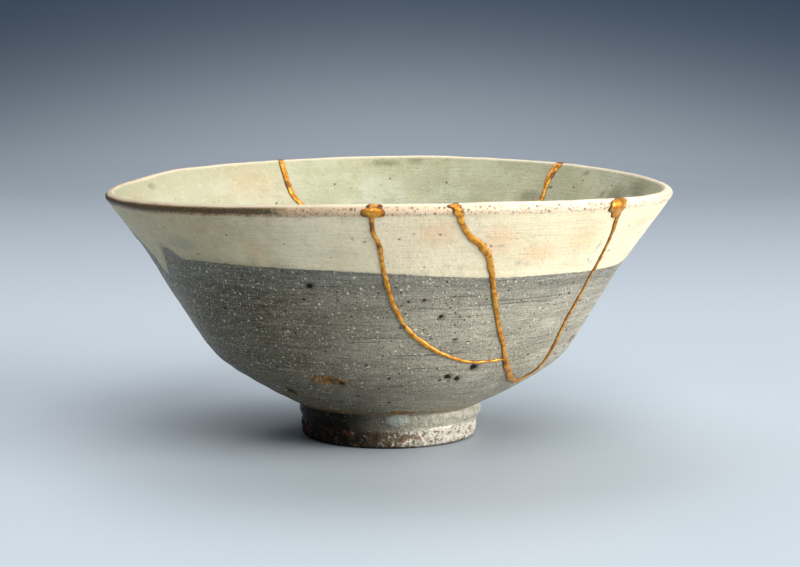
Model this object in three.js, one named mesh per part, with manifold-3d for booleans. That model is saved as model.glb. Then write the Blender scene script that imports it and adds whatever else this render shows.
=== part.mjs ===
// A hand-thrown stoneware tea bowl that broke into four sherds and was mended with lacquer and gold.
//
// The bowl is one turned form: a foot ring with a recess under it, a wide conical wall and a thin,
// slightly wavy lip. Two gold seams cut it up. The front seam has three branches, from three places
// on the lip, and frees two sherds. The back seam runs down from the lip, under and up again, and
// frees one more. Each seam is a body of lacquer that fills the break right through the wall. It is
// narrow inside the wall, where the sherds nearly meet, and widens to both faces, because a mender
// bevels the broken edges before gluing them.
//
// Millimetres, +Z up. The origin is the centre of the ring that the foot rests on. The front of the
// bowl faces -Y. An azimuth is in degrees from the front, growing towards +X.
import * as THREE from "three";
import { mergeVertices } from "three/addons/utils/BufferGeometryUtils.js";
import Module from "manifold-3d";

// ---------- driving dimensions ----------
const MOUTH_RADIUS = 75; // outside of the lip
const BOWL_HEIGHT = 67.8; // to the top of the lip, before the lip's wave
const LIP_THICKNESS = 2.4;
const LIP_DROP = 1.75; // from the top of the lip to where its round begins outside
const FOOT_RADIUS = 23.5; // at its widest ridge
const FOOT_HEIGHT = 9.4; // where the foot meets the wall
const FOOT_TAPER = 0.6; // how much narrower the foot is where it stands
const FOOT_RIDGE_HEIGHT = 4.4; // left by the trimming tool
const RING_WIDTH = 4.8; // of the ring that the foot rests on
const RECESS_DEPTH = 5.8; // under the floor
const RECESS_CROWN = 0.6; // how far the middle and the edge of the recess's roof hang lower
const FLOOR_HEIGHT = 12.8; // of the inside, at the centre
const FLOOR_FLAT_RADIUS = 12;

const SEGMENTS = 48; // round the bowl
const WALL_STEPS = 10; // from foot to lip
const LIP_STEPS = 4; // over the lip
const CURVE_SAMPLES = 240; // taken of a smooth curve before it is read or walked

// The outside of the wall, foot to lip, as radius and height of the few places that shape it: a
// shallow cone over the foot, a quick turn at the hip, a steep straight wall and a small flare.
const WALL_OUTLINE = [
  [FOOT_RADIUS + 1.1, FOOT_HEIGHT],
  [33.4, 14.1],
  [43.4, 20.2],
  [48.9, 25.7],
  [58.0, 40.2],
  [64.4, 50.8],
  [71.4, 60.8],
  [MOUTH_RADIUS - 0.05, BOWL_HEIGHT - LIP_DROP],
];

// How thick the wall is at some heights of its outside.
const WALL_THICKNESS = [
  [FOOT_HEIGHT, 5.6],
  [22, 4.6],
  [50, 3.7],
  [BOWL_HEIGHT - 3, 2.9],
  [BOWL_HEIGHT, LIP_THICKNESS],
];

// The lip rises and falls: waves of so many periods round the bowl, and bumps at one azimuth.
const LIP_WAVES = [
  { periods: 2, cosine: 1.2, sine: 0.1 },
  { periods: 1, cosine: 0, sine: 0.5 },
  { periods: 3, cosine: 0.1, sine: 0.1 },
];
const LIP_BUMPS = [
  { azimuth: -124, rise: 0.45, spread: 8 },
  { azimuth: -108, rise: -0.4, spread: 8 },
];

// ---------- the gold seams ----------
const SEAM_PROUD = 0.4; // how far the gold stands out of the glaze
const SEAM_WEB = 0.6; // width inside the wall
const BEVEL_DEPTH = 1.2; // of the broken edges
const SEAM_GAP = 0.3; // kept between gold and clay
const SEAM_STEP = 4.5; // between the sections along a seam
const OVERSHOOT = 2.5; // how far a seam's blank passes the faces of the wall and the lip
const END_OVERLAP = 0.2; // how far a branch runs into the one it ends on

// Azimuth, height on the outside of the wall, and width there.
const LEFT_BRANCH = [
  [-3, 68, 1.4],
  [-2.7, 62, 1.3],
  [-1.6, 58.5, 1.3],
  [-0.8, 52, 1.3],
  [1.4, 43, 1.4],
  [5.5, 36, 1.5],
  [12.5, 30.8, 1.5],
  [21.5, 27.3, 1.3],
  [29, 26.5, 1.1],
  [37.5, 26.6, 1],
];
const MIDDLE_BRANCH = [
  [12.6, 68, 2],
  [14, 63.5, 1.7],
  [15.8, 60.6, 1.9],
  [20, 56.8, 2],
  [22.2, 53, 1.6],
  [25, 46, 1.5],
  [29, 37.5, 1.5],
  [35, 29, 1.6],
  [39.5, 24, 1.8],
  [46, 20.4, 1.8],
  [53, 18.7, 1.6],
];
const RIGHT_BRANCH = [
  [50.7, 68, 6],
  [51, 63.5, 2],
  [52.8, 59, 1.2],
  [54.3, 53, 1.1],
  [55.3, 44, 1.2],
  [55.8, 36, 1.2],
  [57.6, 28, 1.3],
  [58, 23, 1.5],
  [56.8, 20, 1.6],
  [53, 18.7, 1.6],
];
const BACK_SEAM = [
  [-154, 68, 1.8],
  [-154, 60, 1.5],
  [-155, 55.5, 1.5],
  [-159.5, 50, 1.5],
  [-164, 42, 1.4],
  [-169, 34.5, 1.4],
  [-178, 29, 1.5],
  [-190, 26.5, 1.5],
  [-201, 28.5, 1.4],
  [-210, 34, 1.4],
  [-216, 42, 1.3],
  [-220, 50, 1.3],
  [-222, 57, 1.3],
  [-221.6, 61, 2.2],
  [-222.4, 68, 2.8],
];
// Chips of the lip that are made up in gold: azimuth, and half sizes along the lip and down it.
const LEFT_CHIP = { azimuth: -2.6, along: 3, down: 2.7 };
const MIDDLE_CHIP = { azimuth: 12.2, along: 2.3, down: 2.3 };

// ---------- materials ----------
const GLAZED_STONEWARE = { color: 0x8f8d7f, roughness: 0.4, metalness: 0 };
const GOLD_LACQUER = { color: 0xc98a2b, roughness: 0.35, metalness: 0.9 };

const radians = THREE.MathUtils.degToRad;

// ---------- the form of the bowl ----------

// Reads a table of [x, y] rows at x, in straight lines between its rows and level past its ends.
function readTable(rows, x) {
  const next = rows.findIndex((row) => row[0] >= x);
  if (next === 0) return rows[0][1];
  if (next < 0) return rows[rows.length - 1][1];
  const [[x0, y0], [x1, y1]] = [rows[next - 1], rows[next]];
  return y0 + ((y1 - y0) * (x - x0)) / (x1 - x0);
}

const wallCurve = new THREE.SplineCurve(
  WALL_OUTLINE.map(([radius, height]) => new THREE.Vector2(radius, height)),
);
const WALL_BY_HEIGHT = wallCurve.getPoints(CURVE_SAMPLES).map((p) => [p.y, p.x]);
const WALL_TOP = BOWL_HEIGHT - LIP_DROP;

// Radius of the wall's outside at a height. Above the lip it goes on in the lip's direction.
function outerRadius(height) {
  const tangent = wallCurve.getTangent(1);
  const above = Math.max(height - WALL_TOP, 0);
  return readTable(WALL_BY_HEIGHT, height) + (above * tangent.x) / tangent.y;
}

// How much the lip's wave lifts the bowl at a place: nothing at the foot, all of it at the lip.
function lift(azimuth, height) {
  const share = Math.max((height - FOOT_HEIGHT) / (BOWL_HEIGHT - FOOT_HEIGHT), 0);
  let rise = 0;
  for (const { periods, cosine, sine } of LIP_WAVES) {
    const angle = periods * radians(azimuth);
    rise += cosine * Math.cos(angle) + sine * Math.sin(angle);
  }
  for (const bump of LIP_BUMPS) {
    const away = THREE.MathUtils.euclideanModulo(azimuth - bump.azimuth + 180, 360) - 180;
    rise += bump.rise * Math.exp(-((away / bump.spread) ** 2));
  }
  return rise * share ** 2;
}

// A point of the wall's outside.
function outerPoint(azimuth, height) {
  const radius = outerRadius(height);
  const angle = radians(azimuth);
  return new THREE.Vector3(
    radius * Math.sin(angle),
    -radius * Math.cos(angle),
    height + lift(azimuth, height),
  );
}

// The direction that the wall's outside faces there.
function outerNormal(azimuth, height) {
  const reach = 0.5;
  const along = outerPoint(azimuth + reach, height).sub(outerPoint(azimuth - reach, height));
  const up = outerPoint(azimuth, height + reach).sub(outerPoint(azimuth, height - reach));
  return along.cross(up).normalize();
}

// A quarter or half circle as points, from one angle to another.
function arc(centre, radius, from, to, steps) {
  return Array.from({ length: steps + 1 }, (_, i) => {
    const angle = radians(from + ((to - from) * i) / steps);
    return new THREE.Vector2(
      centre.x + radius * Math.cos(angle),
      centre.y + radius * Math.sin(angle),
    );
  });
}

// The bowl's half section from the centre of its underside, out round the foot, up the wall, over
// the lip and down to the centre of the inside.
function bowlSection() {
  const point = (radius, height) => new THREE.Vector2(radius, height);
  const ringOutside = FOOT_RADIUS - FOOT_TAPER;
  const ringInside = ringOutside - RING_WIDTH;
  const foot = [
    point(0, RECESS_DEPTH - RECESS_CROWN),
    point(ringInside - 4, RECESS_DEPTH),
    point(ringInside - 1.2, RECESS_DEPTH - RECESS_CROWN),
    point(ringInside - 0.4, 0.9),
    point(ringInside, 0),
    point(ringOutside, 0),
    point(ringOutside + 0.5, 0.8),
    point(FOOT_RADIUS, FOOT_RIDGE_HEIGHT),
    point(FOOT_RADIUS - 0.5, FOOT_RIDGE_HEIGHT + 0.7),
    point(FOOT_RADIUS, FOOT_HEIGHT - 1),
  ];
  const outside = [];
  const inside = [];
  for (let i = 0; i <= WALL_STEPS; i++) {
    const at = wallCurve.getPointAt(i / WALL_STEPS);
    const tangent = wallCurve.getTangentAt(i / WALL_STEPS);
    const thickness = readTable(WALL_THICKNESS, at.y);
    outside.push(at);
    inside.unshift(point(at.x - thickness * tangent.y, at.y + thickness * tangent.x));
  }
  const lipCentre = outside[WALL_STEPS].clone().add(inside[0]).multiplyScalar(0.5);
  const lipLean = THREE.MathUtils.radToDeg(wallCurve.getTangentAt(1).angle()) - 90;
  const lip = arc(lipCentre, LIP_THICKNESS / 2, lipLean, lipLean + 180, LIP_STEPS);
  const floor = [point(FLOOR_FLAT_RADIUS, FLOOR_HEIGHT + 0.25), point(0, FLOOR_HEIGHT)];
  return [...foot, ...outside, ...lip.slice(1, -1), ...inside, ...floor];
}

// The section moved outwards by a distance, so that it stands proud of the bowl everywhere.
function grownSection(section, distance) {
  return section.map((p, i) => {
    const before = section[Math.max(i - 1, 0)];
    const after = section[Math.min(i + 1, section.length - 1)];
    const along = after.clone().sub(before).normalize();
    const out = new THREE.Vector2(along.y, -along.x).multiplyScalar(distance);
    const onAxis = p.x === 0;
    return new THREE.Vector2(onAxis ? 0 : p.x + out.x, p.y + out.y);
  });
}

// Turns a section round +Z and lifts each of its points by the lip's wave.
function turnedGeometry(section) {
  const geometry = new THREE.LatheGeometry(section, SEGMENTS);
  geometry.rotateX(Math.PI / 2);
  const place = geometry.getAttribute("position");
  for (let i = 0; i < place.count; i++) {
    const [x, y, z] = [place.getX(i), place.getY(i), place.getZ(i)];
    const azimuth = THREE.MathUtils.radToDeg(Math.atan2(x, -y));
    place.setZ(i, z + lift(azimuth, z));
  }
  return geometry;
}

// ---------- the seams' blanks ----------

// Points evenly spaced along a branch, each with its azimuth, height and width.
function seamStations(branch) {
  const controls = branch.map(([azimuth, height, width]) => ({ azimuth, height, width }));
  const smooth = (key) => {
    const rows = controls.map((c, i) => new THREE.Vector2(i, c[key]));
    return new THREE.SplineCurve(rows);
  };
  const curves = ["azimuth", "height", "width"].map(smooth);
  const read = (share) => curves.map((curve) => curve.getPoint(share).y);
  const fine = Array.from({ length: CURVE_SAMPLES + 1 }, (_, i) => read(i / CURVE_SAMPLES));
  const stations = [fine[0]];
  let travelled = 0;
  for (let i = 1; i < fine.length; i++) {
    const [from, to] = [fine[i - 1], fine[i]];
    travelled += outerPoint(from[0], from[1]).distanceTo(outerPoint(to[0], to[1]));
    if (travelled >= SEAM_STEP || i === fine.length - 1) {
      stations.push(to);
      travelled = 0;
    }
  }
  return stations;
}

// A blank that follows a branch and passes right through the wall: narrow inside it, and flaring
// towards both faces. extra widens it all over, to cut the clay with some room round the gold.
function seamBlank(branch, extra) {
  const stations = seamStations(branch);
  const corners = [];
  stations.forEach(([azimuth, height, width], i) => {
    const before = stations[Math.max(i - 1, 0)];
    const after = stations[Math.min(i + 1, stations.length - 1)];
    const centre = outerPoint(azimuth, height);
    const forward = outerPoint(after[0], after[1]).sub(outerPoint(before[0], before[1]));
    forward.normalize();
    const reach = height > WALL_TOP ? OVERSHOOT : END_OVERLAP;
    if (i === 0) centre.addScaledVector(forward, -reach);
    if (i === stations.length - 1) centre.addScaledVector(forward, reach);
    const inward = outerNormal(azimuth, height).negate();
    const side = new THREE.Vector3().crossVectors(inward, forward).normalize();
    const thickness = readTable(WALL_THICKNESS, height);
    const narrow = SEAM_WEB / 2 + extra;
    const flare = (width - SEAM_WEB) / 2 / BEVEL_DEPTH;
    const wide = narrow + flare * (BEVEL_DEPTH + OVERSHOOT);
    const half = [
      [-OVERSHOOT, wide],
      [BEVEL_DEPTH, narrow],
      [thickness - BEVEL_DEPTH, narrow],
      [thickness + OVERSHOOT, wide],
    ];
    const loop = [...half, ...half.slice().reverse().map(([d, w]) => [d, -w])];
    for (const [depth, sideways] of loop) {
      corners.push(
        centre.clone().addScaledVector(inward, depth).addScaledVector(side, sideways),
      );
    }
  });
  const ring = corners.length / stations.length;
  const faces = [];
  for (let i = 0; i + 1 < stations.length; i++) {
    for (let k = 0; k < ring; k++) {
      const [a, b] = [i * ring + k, i * ring + ((k + 1) % ring)];
      faces.push([a, b, b + ring], [a, b + ring, a + ring]);
    }
  }
  // The ends are capped in quads between one side of the section and the other.
  const last = (stations.length - 1) * ring;
  for (let k = 0; k < ring / 2 - 1; k++) {
    const [a, b, c, d] = [k, k + 1, ring - 2 - k, ring - 1 - k];
    faces.push([a, c, b], [a, d, c]);
    faces.push([last + a, last + b, last + c], [last + a, last + c, last + d]);
  }
  return { corners, faces };
}

// A ball squashed to a chip's size, over the lip.
function chipBlank({ azimuth, along, down }, extra) {
  const geometry = new THREE.SphereGeometry(1, 14, 8);
  geometry.scale(along + extra, LIP_THICKNESS + extra, down + extra);
  geometry.rotateZ(radians(azimuth));
  const middle = outerPoint(azimuth, BOWL_HEIGHT - LIP_DROP / 2);
  geometry.translate(middle.x, middle.y, middle.z);
  return geometry;
}

// ---------- joining and cutting ----------
const wasm = await Module();
wasm.setup();

function solidOf(geometry) {
  const bare = new THREE.BufferGeometry();
  bare.setAttribute("position", geometry.getAttribute("position").clone());
  if (geometry.index) bare.setIndex(geometry.index.clone());
  const merged = mergeVertices(bare, 1e-4);
  return new wasm.Manifold(
    new wasm.Mesh({
      numProp: 3,
      vertProperties: new Float32Array(merged.getAttribute("position").array),
      triVerts: new Uint32Array(merged.index.array),
    }),
  );
}

function solidOfFaces({ corners, faces }) {
  return new wasm.Manifold(
    new wasm.Mesh({
      numProp: 3,
      vertProperties: new Float32Array(corners.flatMap((p) => p.toArray())),
      triVerts: new Uint32Array(faces.flat()),
    }),
  );
}

function joined(solids) {
  return solids.reduce((all, solid) => all.add(solid));
}

function seamSolid(branches, chips, extra) {
  return joined([
    ...branches.map((branch) => solidOfFaces(seamBlank(branch, extra))),
    ...chips.map((chip) => solidOf(chipBlank(chip, extra))),
  ]);
}

function meshOf(solid, name, look) {
  const { numProp, vertProperties, triVerts } = solid.getMesh();
  const place = new Float32Array((vertProperties.length / numProp) * 3);
  for (let i = 0; i * numProp < vertProperties.length; i++) {
    place.set(vertProperties.subarray(i * numProp, i * numProp + 3), i * 3);
  }
  const geometry = new THREE.BufferGeometry();
  geometry.setAttribute("position", new THREE.BufferAttribute(place, 3));
  geometry.setIndex(new THREE.BufferAttribute(triVerts, 1));
  geometry.computeVertexNormals();
  const mesh = new THREE.Mesh(geometry, new THREE.MeshStandardMaterial(look));
  mesh.name = name;
  return mesh;
}

// ---------- the bowl, its sherds and its seams ----------
const section = bowlSection();
const wholeBowl = solidOf(turnedGeometry(section));
const proudBowl = solidOf(turnedGeometry(grownSection(section, SEAM_PROUD)));

const frontBranches = [LEFT_BRANCH, MIDDLE_BRANCH, RIGHT_BRANCH];
const frontChips = [LEFT_CHIP, MIDDLE_CHIP];
const frontSeam = proudBowl.intersect(seamSolid(frontBranches, frontChips, 0));
const backSeam = proudBowl.intersect(seamSolid([BACK_SEAM], [], 0));

const sherds = wholeBowl
  .subtract(seamSolid(frontBranches, frontChips, SEAM_GAP))
  .subtract(seamSolid([BACK_SEAM], [], SEAM_GAP))
  .decompose();

// The largest sherd holds the foot. Of the others, one is at the back and two at the front.
function nameOf(sherd) {
  const { min, max } = sherd.boundingBox();
  if (min[2] < FOOT_HEIGHT) return "bowl_body";
  if (min[1] > 0) return "back_sherd";
  return min[0] + max[0] < MOUTH_RADIUS / 2 ? "front_left_sherd" : "front_right_sherd";
}

const bowl = new THREE.Group();
bowl.name = "kintsugi_bowl";
for (const sherd of sherds) bowl.add(meshOf(sherd, nameOf(sherd), GLAZED_STONEWARE));
bowl.add(meshOf(frontSeam, "front_gold_seam", GOLD_LACQUER));
bowl.add(meshOf(backSeam, "back_gold_seam", GOLD_LACQUER));

export default bowl;
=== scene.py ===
# %% [markdown]
# # A tea bowl mended with gold
#
# A conical stoneware tea bowl, thrown on a wheel, dipped upside down in pale slip and glazed. It broke
# into four sherds. A mender joined them with lacquer and dusted the raised seams with gold powder.
#
# The CAD frame holds the six true pieces: four sherds and two gold seams. They are exact but plain, so
# this lesson makes each again as a fine mesh of the same size and place, and gives it its finish.

# %% Load the frame
import math

import bpy
import numpy as np
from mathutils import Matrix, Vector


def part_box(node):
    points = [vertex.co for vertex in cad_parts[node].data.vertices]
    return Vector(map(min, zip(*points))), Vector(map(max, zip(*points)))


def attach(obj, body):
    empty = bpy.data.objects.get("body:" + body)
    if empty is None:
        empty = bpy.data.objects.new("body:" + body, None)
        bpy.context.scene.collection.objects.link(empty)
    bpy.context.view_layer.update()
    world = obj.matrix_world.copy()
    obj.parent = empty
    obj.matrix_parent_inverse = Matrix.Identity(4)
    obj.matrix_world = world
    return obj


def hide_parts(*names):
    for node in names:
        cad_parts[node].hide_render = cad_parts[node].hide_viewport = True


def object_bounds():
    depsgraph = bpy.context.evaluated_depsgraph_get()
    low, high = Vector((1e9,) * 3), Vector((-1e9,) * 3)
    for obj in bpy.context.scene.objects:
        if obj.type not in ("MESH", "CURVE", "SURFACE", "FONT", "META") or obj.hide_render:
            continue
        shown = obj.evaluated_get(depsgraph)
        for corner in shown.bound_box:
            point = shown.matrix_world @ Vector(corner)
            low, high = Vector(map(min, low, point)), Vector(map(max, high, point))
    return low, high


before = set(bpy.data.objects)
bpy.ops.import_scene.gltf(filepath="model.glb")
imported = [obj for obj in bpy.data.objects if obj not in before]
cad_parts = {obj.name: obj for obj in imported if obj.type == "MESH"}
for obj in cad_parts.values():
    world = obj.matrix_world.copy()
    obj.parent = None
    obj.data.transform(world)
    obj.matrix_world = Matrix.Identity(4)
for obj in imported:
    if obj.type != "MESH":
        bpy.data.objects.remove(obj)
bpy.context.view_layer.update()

MM = 0.001
body_low, body_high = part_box("bowl_body")
MOUTH_RADIUS = (body_high.x - body_low.x) / 2 / MM
print("nodes:", sorted(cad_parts), "mouth radius in mm:", round(MOUTH_RADIUS, 2))

# %% [markdown]
# ## The driving sizes
#
# Shapes are worked out in millimetres, as a potter would measure them, and become metres once, when a
# mesh is made. A place on the bowl is given by its azimuth, in degrees from the front and growing
# towards +X, and by its height on the outside of the wall.

# %% Sizes of the bowl
BOWL_HEIGHT = 67.8
LIP_THICKNESS = 2.4
LIP_DROP = 1.75
FOOT_RADIUS = 23.5
FOOT_HEIGHT = 9.4
RING_INSIDE = 18.1
RECESS_DEPTH = 5.8
FLOOR_HEIGHT = 12.8
WALL_TOP = BOWL_HEIGHT - LIP_DROP

WALL_OUTLINE = [
    (FOOT_RADIUS + 1.1, FOOT_HEIGHT), (33.4, 14.1), (43.4, 20.2), (48.9, 25.7),
    (58.0, 40.2), (64.4, 50.8), (71.4, 60.8), (MOUTH_RADIUS - 0.05, WALL_TOP),
]
THICKNESS_AT = ([FOOT_HEIGHT, 22, 50, BOWL_HEIGHT - 3, BOWL_HEIGHT], [5.6, 4.6, 3.7, 2.9, LIP_THICKNESS])

# %% [markdown]
# ## Curves and random relief
#
# Three helpers carry most of the work. A smooth curve through a few points gives every outline and
# seam. A sum of plane waves gives soft random relief that has no seam and no grid. A bump is a smooth
# hill of height one.

# %% Helpers for curves and relief
def smooth_curve(points, count):
    """Samples of a curve through all the points. Between two points it is a cubic, whose slope at each
    of them is half the step from the point before to the point after."""
    points = np.asarray(points, float)
    padded = np.vstack([2 * points[0] - points[1], points, 2 * points[-1] - points[-2]])
    place = np.linspace(0, len(points) - 1, count)
    first = np.minimum(place.astype(int), len(points) - 2)
    t = (place - first)[:, None]
    a, b, c, d = (padded[first + i] for i in range(4))
    return (2 * b + (c - a) * t + (2 * a - 5 * b + 4 * c - d) * t**2 + (3 * b - a - 3 * c + d) * t**3) / 2


def lengths_along(points):
    """The length of the way from the first point to each point, as a running sum of the steps."""
    steps = np.linalg.norm(np.diff(points, axis=0), axis=1)
    return np.concatenate([[0], np.cumsum(steps)])


def evenly(points, count):
    """The same line with its samples at equal lengths."""
    along = lengths_along(points)
    wanted = np.linspace(0, along[-1], count)
    return np.column_stack([np.interp(wanted, along, column) for column in points.T])


def waves(points, wavelength, seed, count=28):
    """Soft random relief, about -1 to 1: a sum of sine waves that run in random directions, each with
    a length near the one asked for."""
    random = np.random.default_rng(seed)
    directions = random.normal(size=(count, 3))
    directions /= np.linalg.norm(directions, axis=1)[:, None]
    turns = 2 * np.pi / (wavelength * random.uniform(0.7, 1.6, count))
    total = np.zeros(points.shape[:-1])
    for direction, turn, phase in zip(directions, turns, random.uniform(0, 2 * np.pi, count)):
        total += np.sin(points @ (direction * turn) + phase)
    return total / math.sqrt(2 * count)


def step(value, low, high):
    """0 below low, 1 above high, and a smooth rise 3t^2 - 2t^3 between them."""
    t = np.clip((value - low) / (high - low), 0, 1)
    return t * t * (3 - 2 * t)


def hill(distance):
    """A round hill: 1 at distance 0, falling as exp(-distance^2)."""
    return np.exp(-(distance**2))


def degrees_apart(azimuth, centre):
    """The shorter way round from one azimuth to another, signed."""
    return (azimuth - centre + 180) % 360 - 180


# %% [markdown]
# ## The meridian
#
# The whole skin of the bowl is one line turned round the axis. It runs from the middle of the underside
# over the foot ring, up the wall, over the lip, down the inside and across the floor. The line has eight
# stretches, and a place on it is the number of the stretch plus the share of that stretch passed. The
# inside of the wall is the outside moved in by the wall's thickness, with the same shares backwards, so
# each place outside has its partner through the wall. The sherds need that later.

# %% Build the meridian
RECESS_ROOF, RECESS_SIDE, RING, FOOT_SIDE, WALL_OUTSIDE, LIP, WALL_INSIDE, FLOOR = range(8)
SAMPLES = 200


def lip_arc(outer_end, inner_end, stretch_up):
    """A rounded lip from the outer to the inner end of the wall: half an oval with blunt shoulders,
    centre + across * cos^0.8 + up * sin^0.8."""
    middle = (outer_end + inner_end) / 2
    across = outer_end - middle
    up = np.array([-across[1], across[0]]) / np.linalg.norm(across) * stretch_up
    angle = np.linspace(0, np.pi, SAMPLES + 1)
    wide = np.sign(np.cos(angle)) * np.abs(np.cos(angle)) ** 0.8
    high = np.sin(angle) ** 0.8
    return middle + wide[:, None] * across + high[:, None] * up


def build_meridian():
    """The dense samples of the whole line: their place, radius, height and outward direction."""
    outside = evenly(smooth_curve(WALL_OUTLINE, 600), SAMPLES + 1)
    tangent = np.gradient(outside, axis=0)
    tangent /= np.linalg.norm(tangent, axis=1)[:, None]
    inward = np.column_stack([-tangent[:, 1], tangent[:, 0]])
    inside = outside + inward * np.interp(outside[:, 1], *THICKNESS_AT)[:, None]
    ring_outside = FOOT_RADIUS - 1.1
    foot_side = [
        (ring_outside, 0), (ring_outside + 0.5, 0.35), (FOOT_RADIUS - 0.1, 1.2), (FOOT_RADIUS + 0.1, 4.2),
        (FOOT_RADIUS - 0.3, 5.1), (FOOT_RADIUS, 6.4), (FOOT_RADIUS + 0.35, 7.8),
        (FOOT_RADIUS + 0.45, 8.9), (FOOT_RADIUS + 1.1, FOOT_HEIGHT),
    ]
    recess_side = [(RING_INSIDE - 1.6, RECESS_DEPTH - 0.5), (RING_INSIDE - 0.7, 3.6), (RING_INSIDE, 0)]
    roof = [(0, RECESS_DEPTH - 0.9), (RING_INSIDE - 6, RECESS_DEPTH), recess_side[0]]
    stretches = [
        smooth_curve(roof, SAMPLES + 1),
        smooth_curve(recess_side, SAMPLES + 1),
        evenly(np.array([(RING_INSIDE, 0), (ring_outside, 0)]), SAMPLES + 1),
        evenly(smooth_curve(foot_side, 600), SAMPLES + 1),
        outside,
        lip_arc(outside[-1], inside[-1], 1.35),
        inside[::-1],
        smooth_curve([inside[0], (12, FLOOR_HEIGHT + 0.25), (0, FLOOR_HEIGHT)], SAMPLES + 1),
    ]
    line = np.vstack([part[:-1] for part in stretches] + [stretches[-1][-1:]])
    line[:, 0] = np.maximum(line[:, 0], 0)
    place = np.arange(len(line)) / SAMPLES
    along = np.gradient(line, axis=0)
    along /= np.linalg.norm(along, axis=1)[:, None]
    return place, line[:, 0], line[:, 1], along[:, 1], -along[:, 0]


PLACE, RADIUS, HEIGHT, OUT_RADIAL, OUT_UP = build_meridian()
MERIDIAN_MM = lengths_along(np.column_stack([RADIUS, HEIGHT]))


def place_at_height(height):
    """The place on the outside of the wall at a height."""
    wall = (PLACE >= WALL_OUTSIDE) & (PLACE <= LIP)
    return np.interp(height, HEIGHT[wall], PLACE[wall])


print("meridian length in mm:", round(MERIDIAN_MM[-1], 1), "top of the lip:", round(HEIGHT.max(), 2))

# %% [markdown]
# ## The lip's wave and the slip's edge
#
# A thrown bowl warps a little in the kiln. The lip rises at the front and the back and sinks at the
# sides, and the wave dies out towards the foot. The bowl was dipped by hand, so the lower edge of the
# slip wanders, and at the left a tongue of slip ran down between two bare arches.

# %% Lip wave and slip edge
LIP_WAVES = [
    # waves round the bowl, height of the cosine, height of the sine
    (2, 1.2, 0.1), (1, 0.0, 0.5), (3, 0.1, 0.1),
]
LIP_BUMPS = [
    # azimuth, height, spread in degrees
    (-124, 0.45, 8), (-108, -0.4, 8),
]
SLIP_EDGE = [
    # azimuth, height of the edge on the wall
    (-180, 50.4), (-160, 51.2), (-140, 50.2), (-120, 49.6), (-100, 51.0), (-86, 53.0), (-78, 56.5),
    (-71.5, 56.4), (-68.4, 52.8), (-67.0, 48.4), (-65.4, 47.2), (-63.4, 48.4), (-61, 51.0), (-58.4, 53.9),
    (-56.2, 55.6), (-54.2, 55.2), (-52.2, 53.5), (-50.2, 52.9), (-47, 53.1), (-33, 52.6), (-19, 52.1),
    (-10, 51.8), (0, 51.2), (14, 50.0), (30, 49.3), (50, 49.2), (75, 49.2), (100, 49.9), (125, 51.0),
    (150, 50.0), (180, 50.4),
]


def lip_wave(azimuth):
    """How far the lip rises above its mean: cosines and sines of one, two and three turns round the
    bowl, and two small bumps."""
    angle = np.radians(azimuth)
    rise = sum(cosine * np.cos(n * angle) + sine * np.sin(n * angle) for n, cosine, sine in LIP_WAVES)
    return rise + sum(up * hill(degrees_apart(azimuth, at) / wide) for at, up, wide in LIP_BUMPS)


EDGE_CURVE = smooth_curve(SLIP_EDGE, 1200)
WALL_PER_HEIGHT = 1.17
FAR_FROM_EDGE = 20


def above_slip_edge(azimuth, place):
    """Millimetres up the wall from the slip's edge: negative on the bare glaze below it, positive on
    the slip, and a plain large number inside."""
    height = np.interp(place, PLACE, HEIGHT)
    edge = np.interp(degrees_apart(azimuth, 0), EDGE_CURVE[:, 0], EDGE_CURVE[:, 1])
    outside = np.clip((height - edge) * WALL_PER_HEIGHT, -FAR_FROM_EDGE, FAR_FROM_EDGE)
    return np.where(place < LIP + 0.5, outside, FAR_FROM_EDGE)


# %% [markdown]
# ## The relief of the skin
#
# What a hand feels goes into the mesh: the wobble and the throwing rings, the thickness of the slip, a
# rolled lip, pits where grit burst out, the ridge and crust of the foot and a drop of glaze that ran
# down to it. Each is a formula of azimuth and place, added up and moved along the outward direction.

# %% Relief in millimetres
PITS = [
    # azimuth, height, radius, depth
    (-19.8, 21.3, 2.6, 0.30), (-15.4, 20.6, 0.9, 0.5), (26.5, 25.0, 1.2, 0.55), (18.8, 22.6, 1.0, 0.5),
    (22.4, 21.8, 1.0, 0.45), (-17.8, 47.6, 1.0, 0.45), (70.6, 28.5, 1.3, 0.5), (-42, 16.2, 1.4, 0.4),
    (31, 65.0, 0.8, 0.35), (118.3, 44, 1.2, 0.5), (152, 33, 1.3, 0.5), (-130, 27, 1.5, 0.5),
    (-98, 39, 1.2, 0.5), (-160, 43, 1.0, 0.4), (95, 24, 1.4, 0.5), (172, 21, 1.5, 0.5),
    (13.2, 39.5, 0.8, 0.4), (18, 33, 0.7, 0.4), (-31, 40, 0.7, 0.4), (8.5, 44, 0.6, 0.3),
]

# Marks as azimuth, height, half width and half height: a drop of glaze on the foot, a knock inside the lip.
GLAZE_DROP = (6.6, 7.9, 2.9, 1.9)
LIP_DENT = (-112, 66.4, 2.2, 2.6)
FOOT_LEDGES = [
    # azimuth, how far the ledge stands out, spread in degrees
    (88, 1.35, 34), (-95, 0.55, 50),
]
LEDGE_HEIGHT = 6.9


def in_stretches(place, first, last, soft=0.15):
    """1 on the stretches from first to last, and a smooth fall to 0 just inside their ends."""
    return step(place, first, first + soft) * (1 - step(place, last - soft, last))


def spot(azimuth, height, radius, at):
    """The distance from a mark, in units of the mark's own half sizes: (azimuth, height, half width,
    half height) with the sizes in millimetres."""
    sideways = np.radians(degrees_apart(azimuth, at[0])) * radius / at[2]
    return np.hypot(sideways, (height - at[1]) * 1.15 / at[3])


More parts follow.
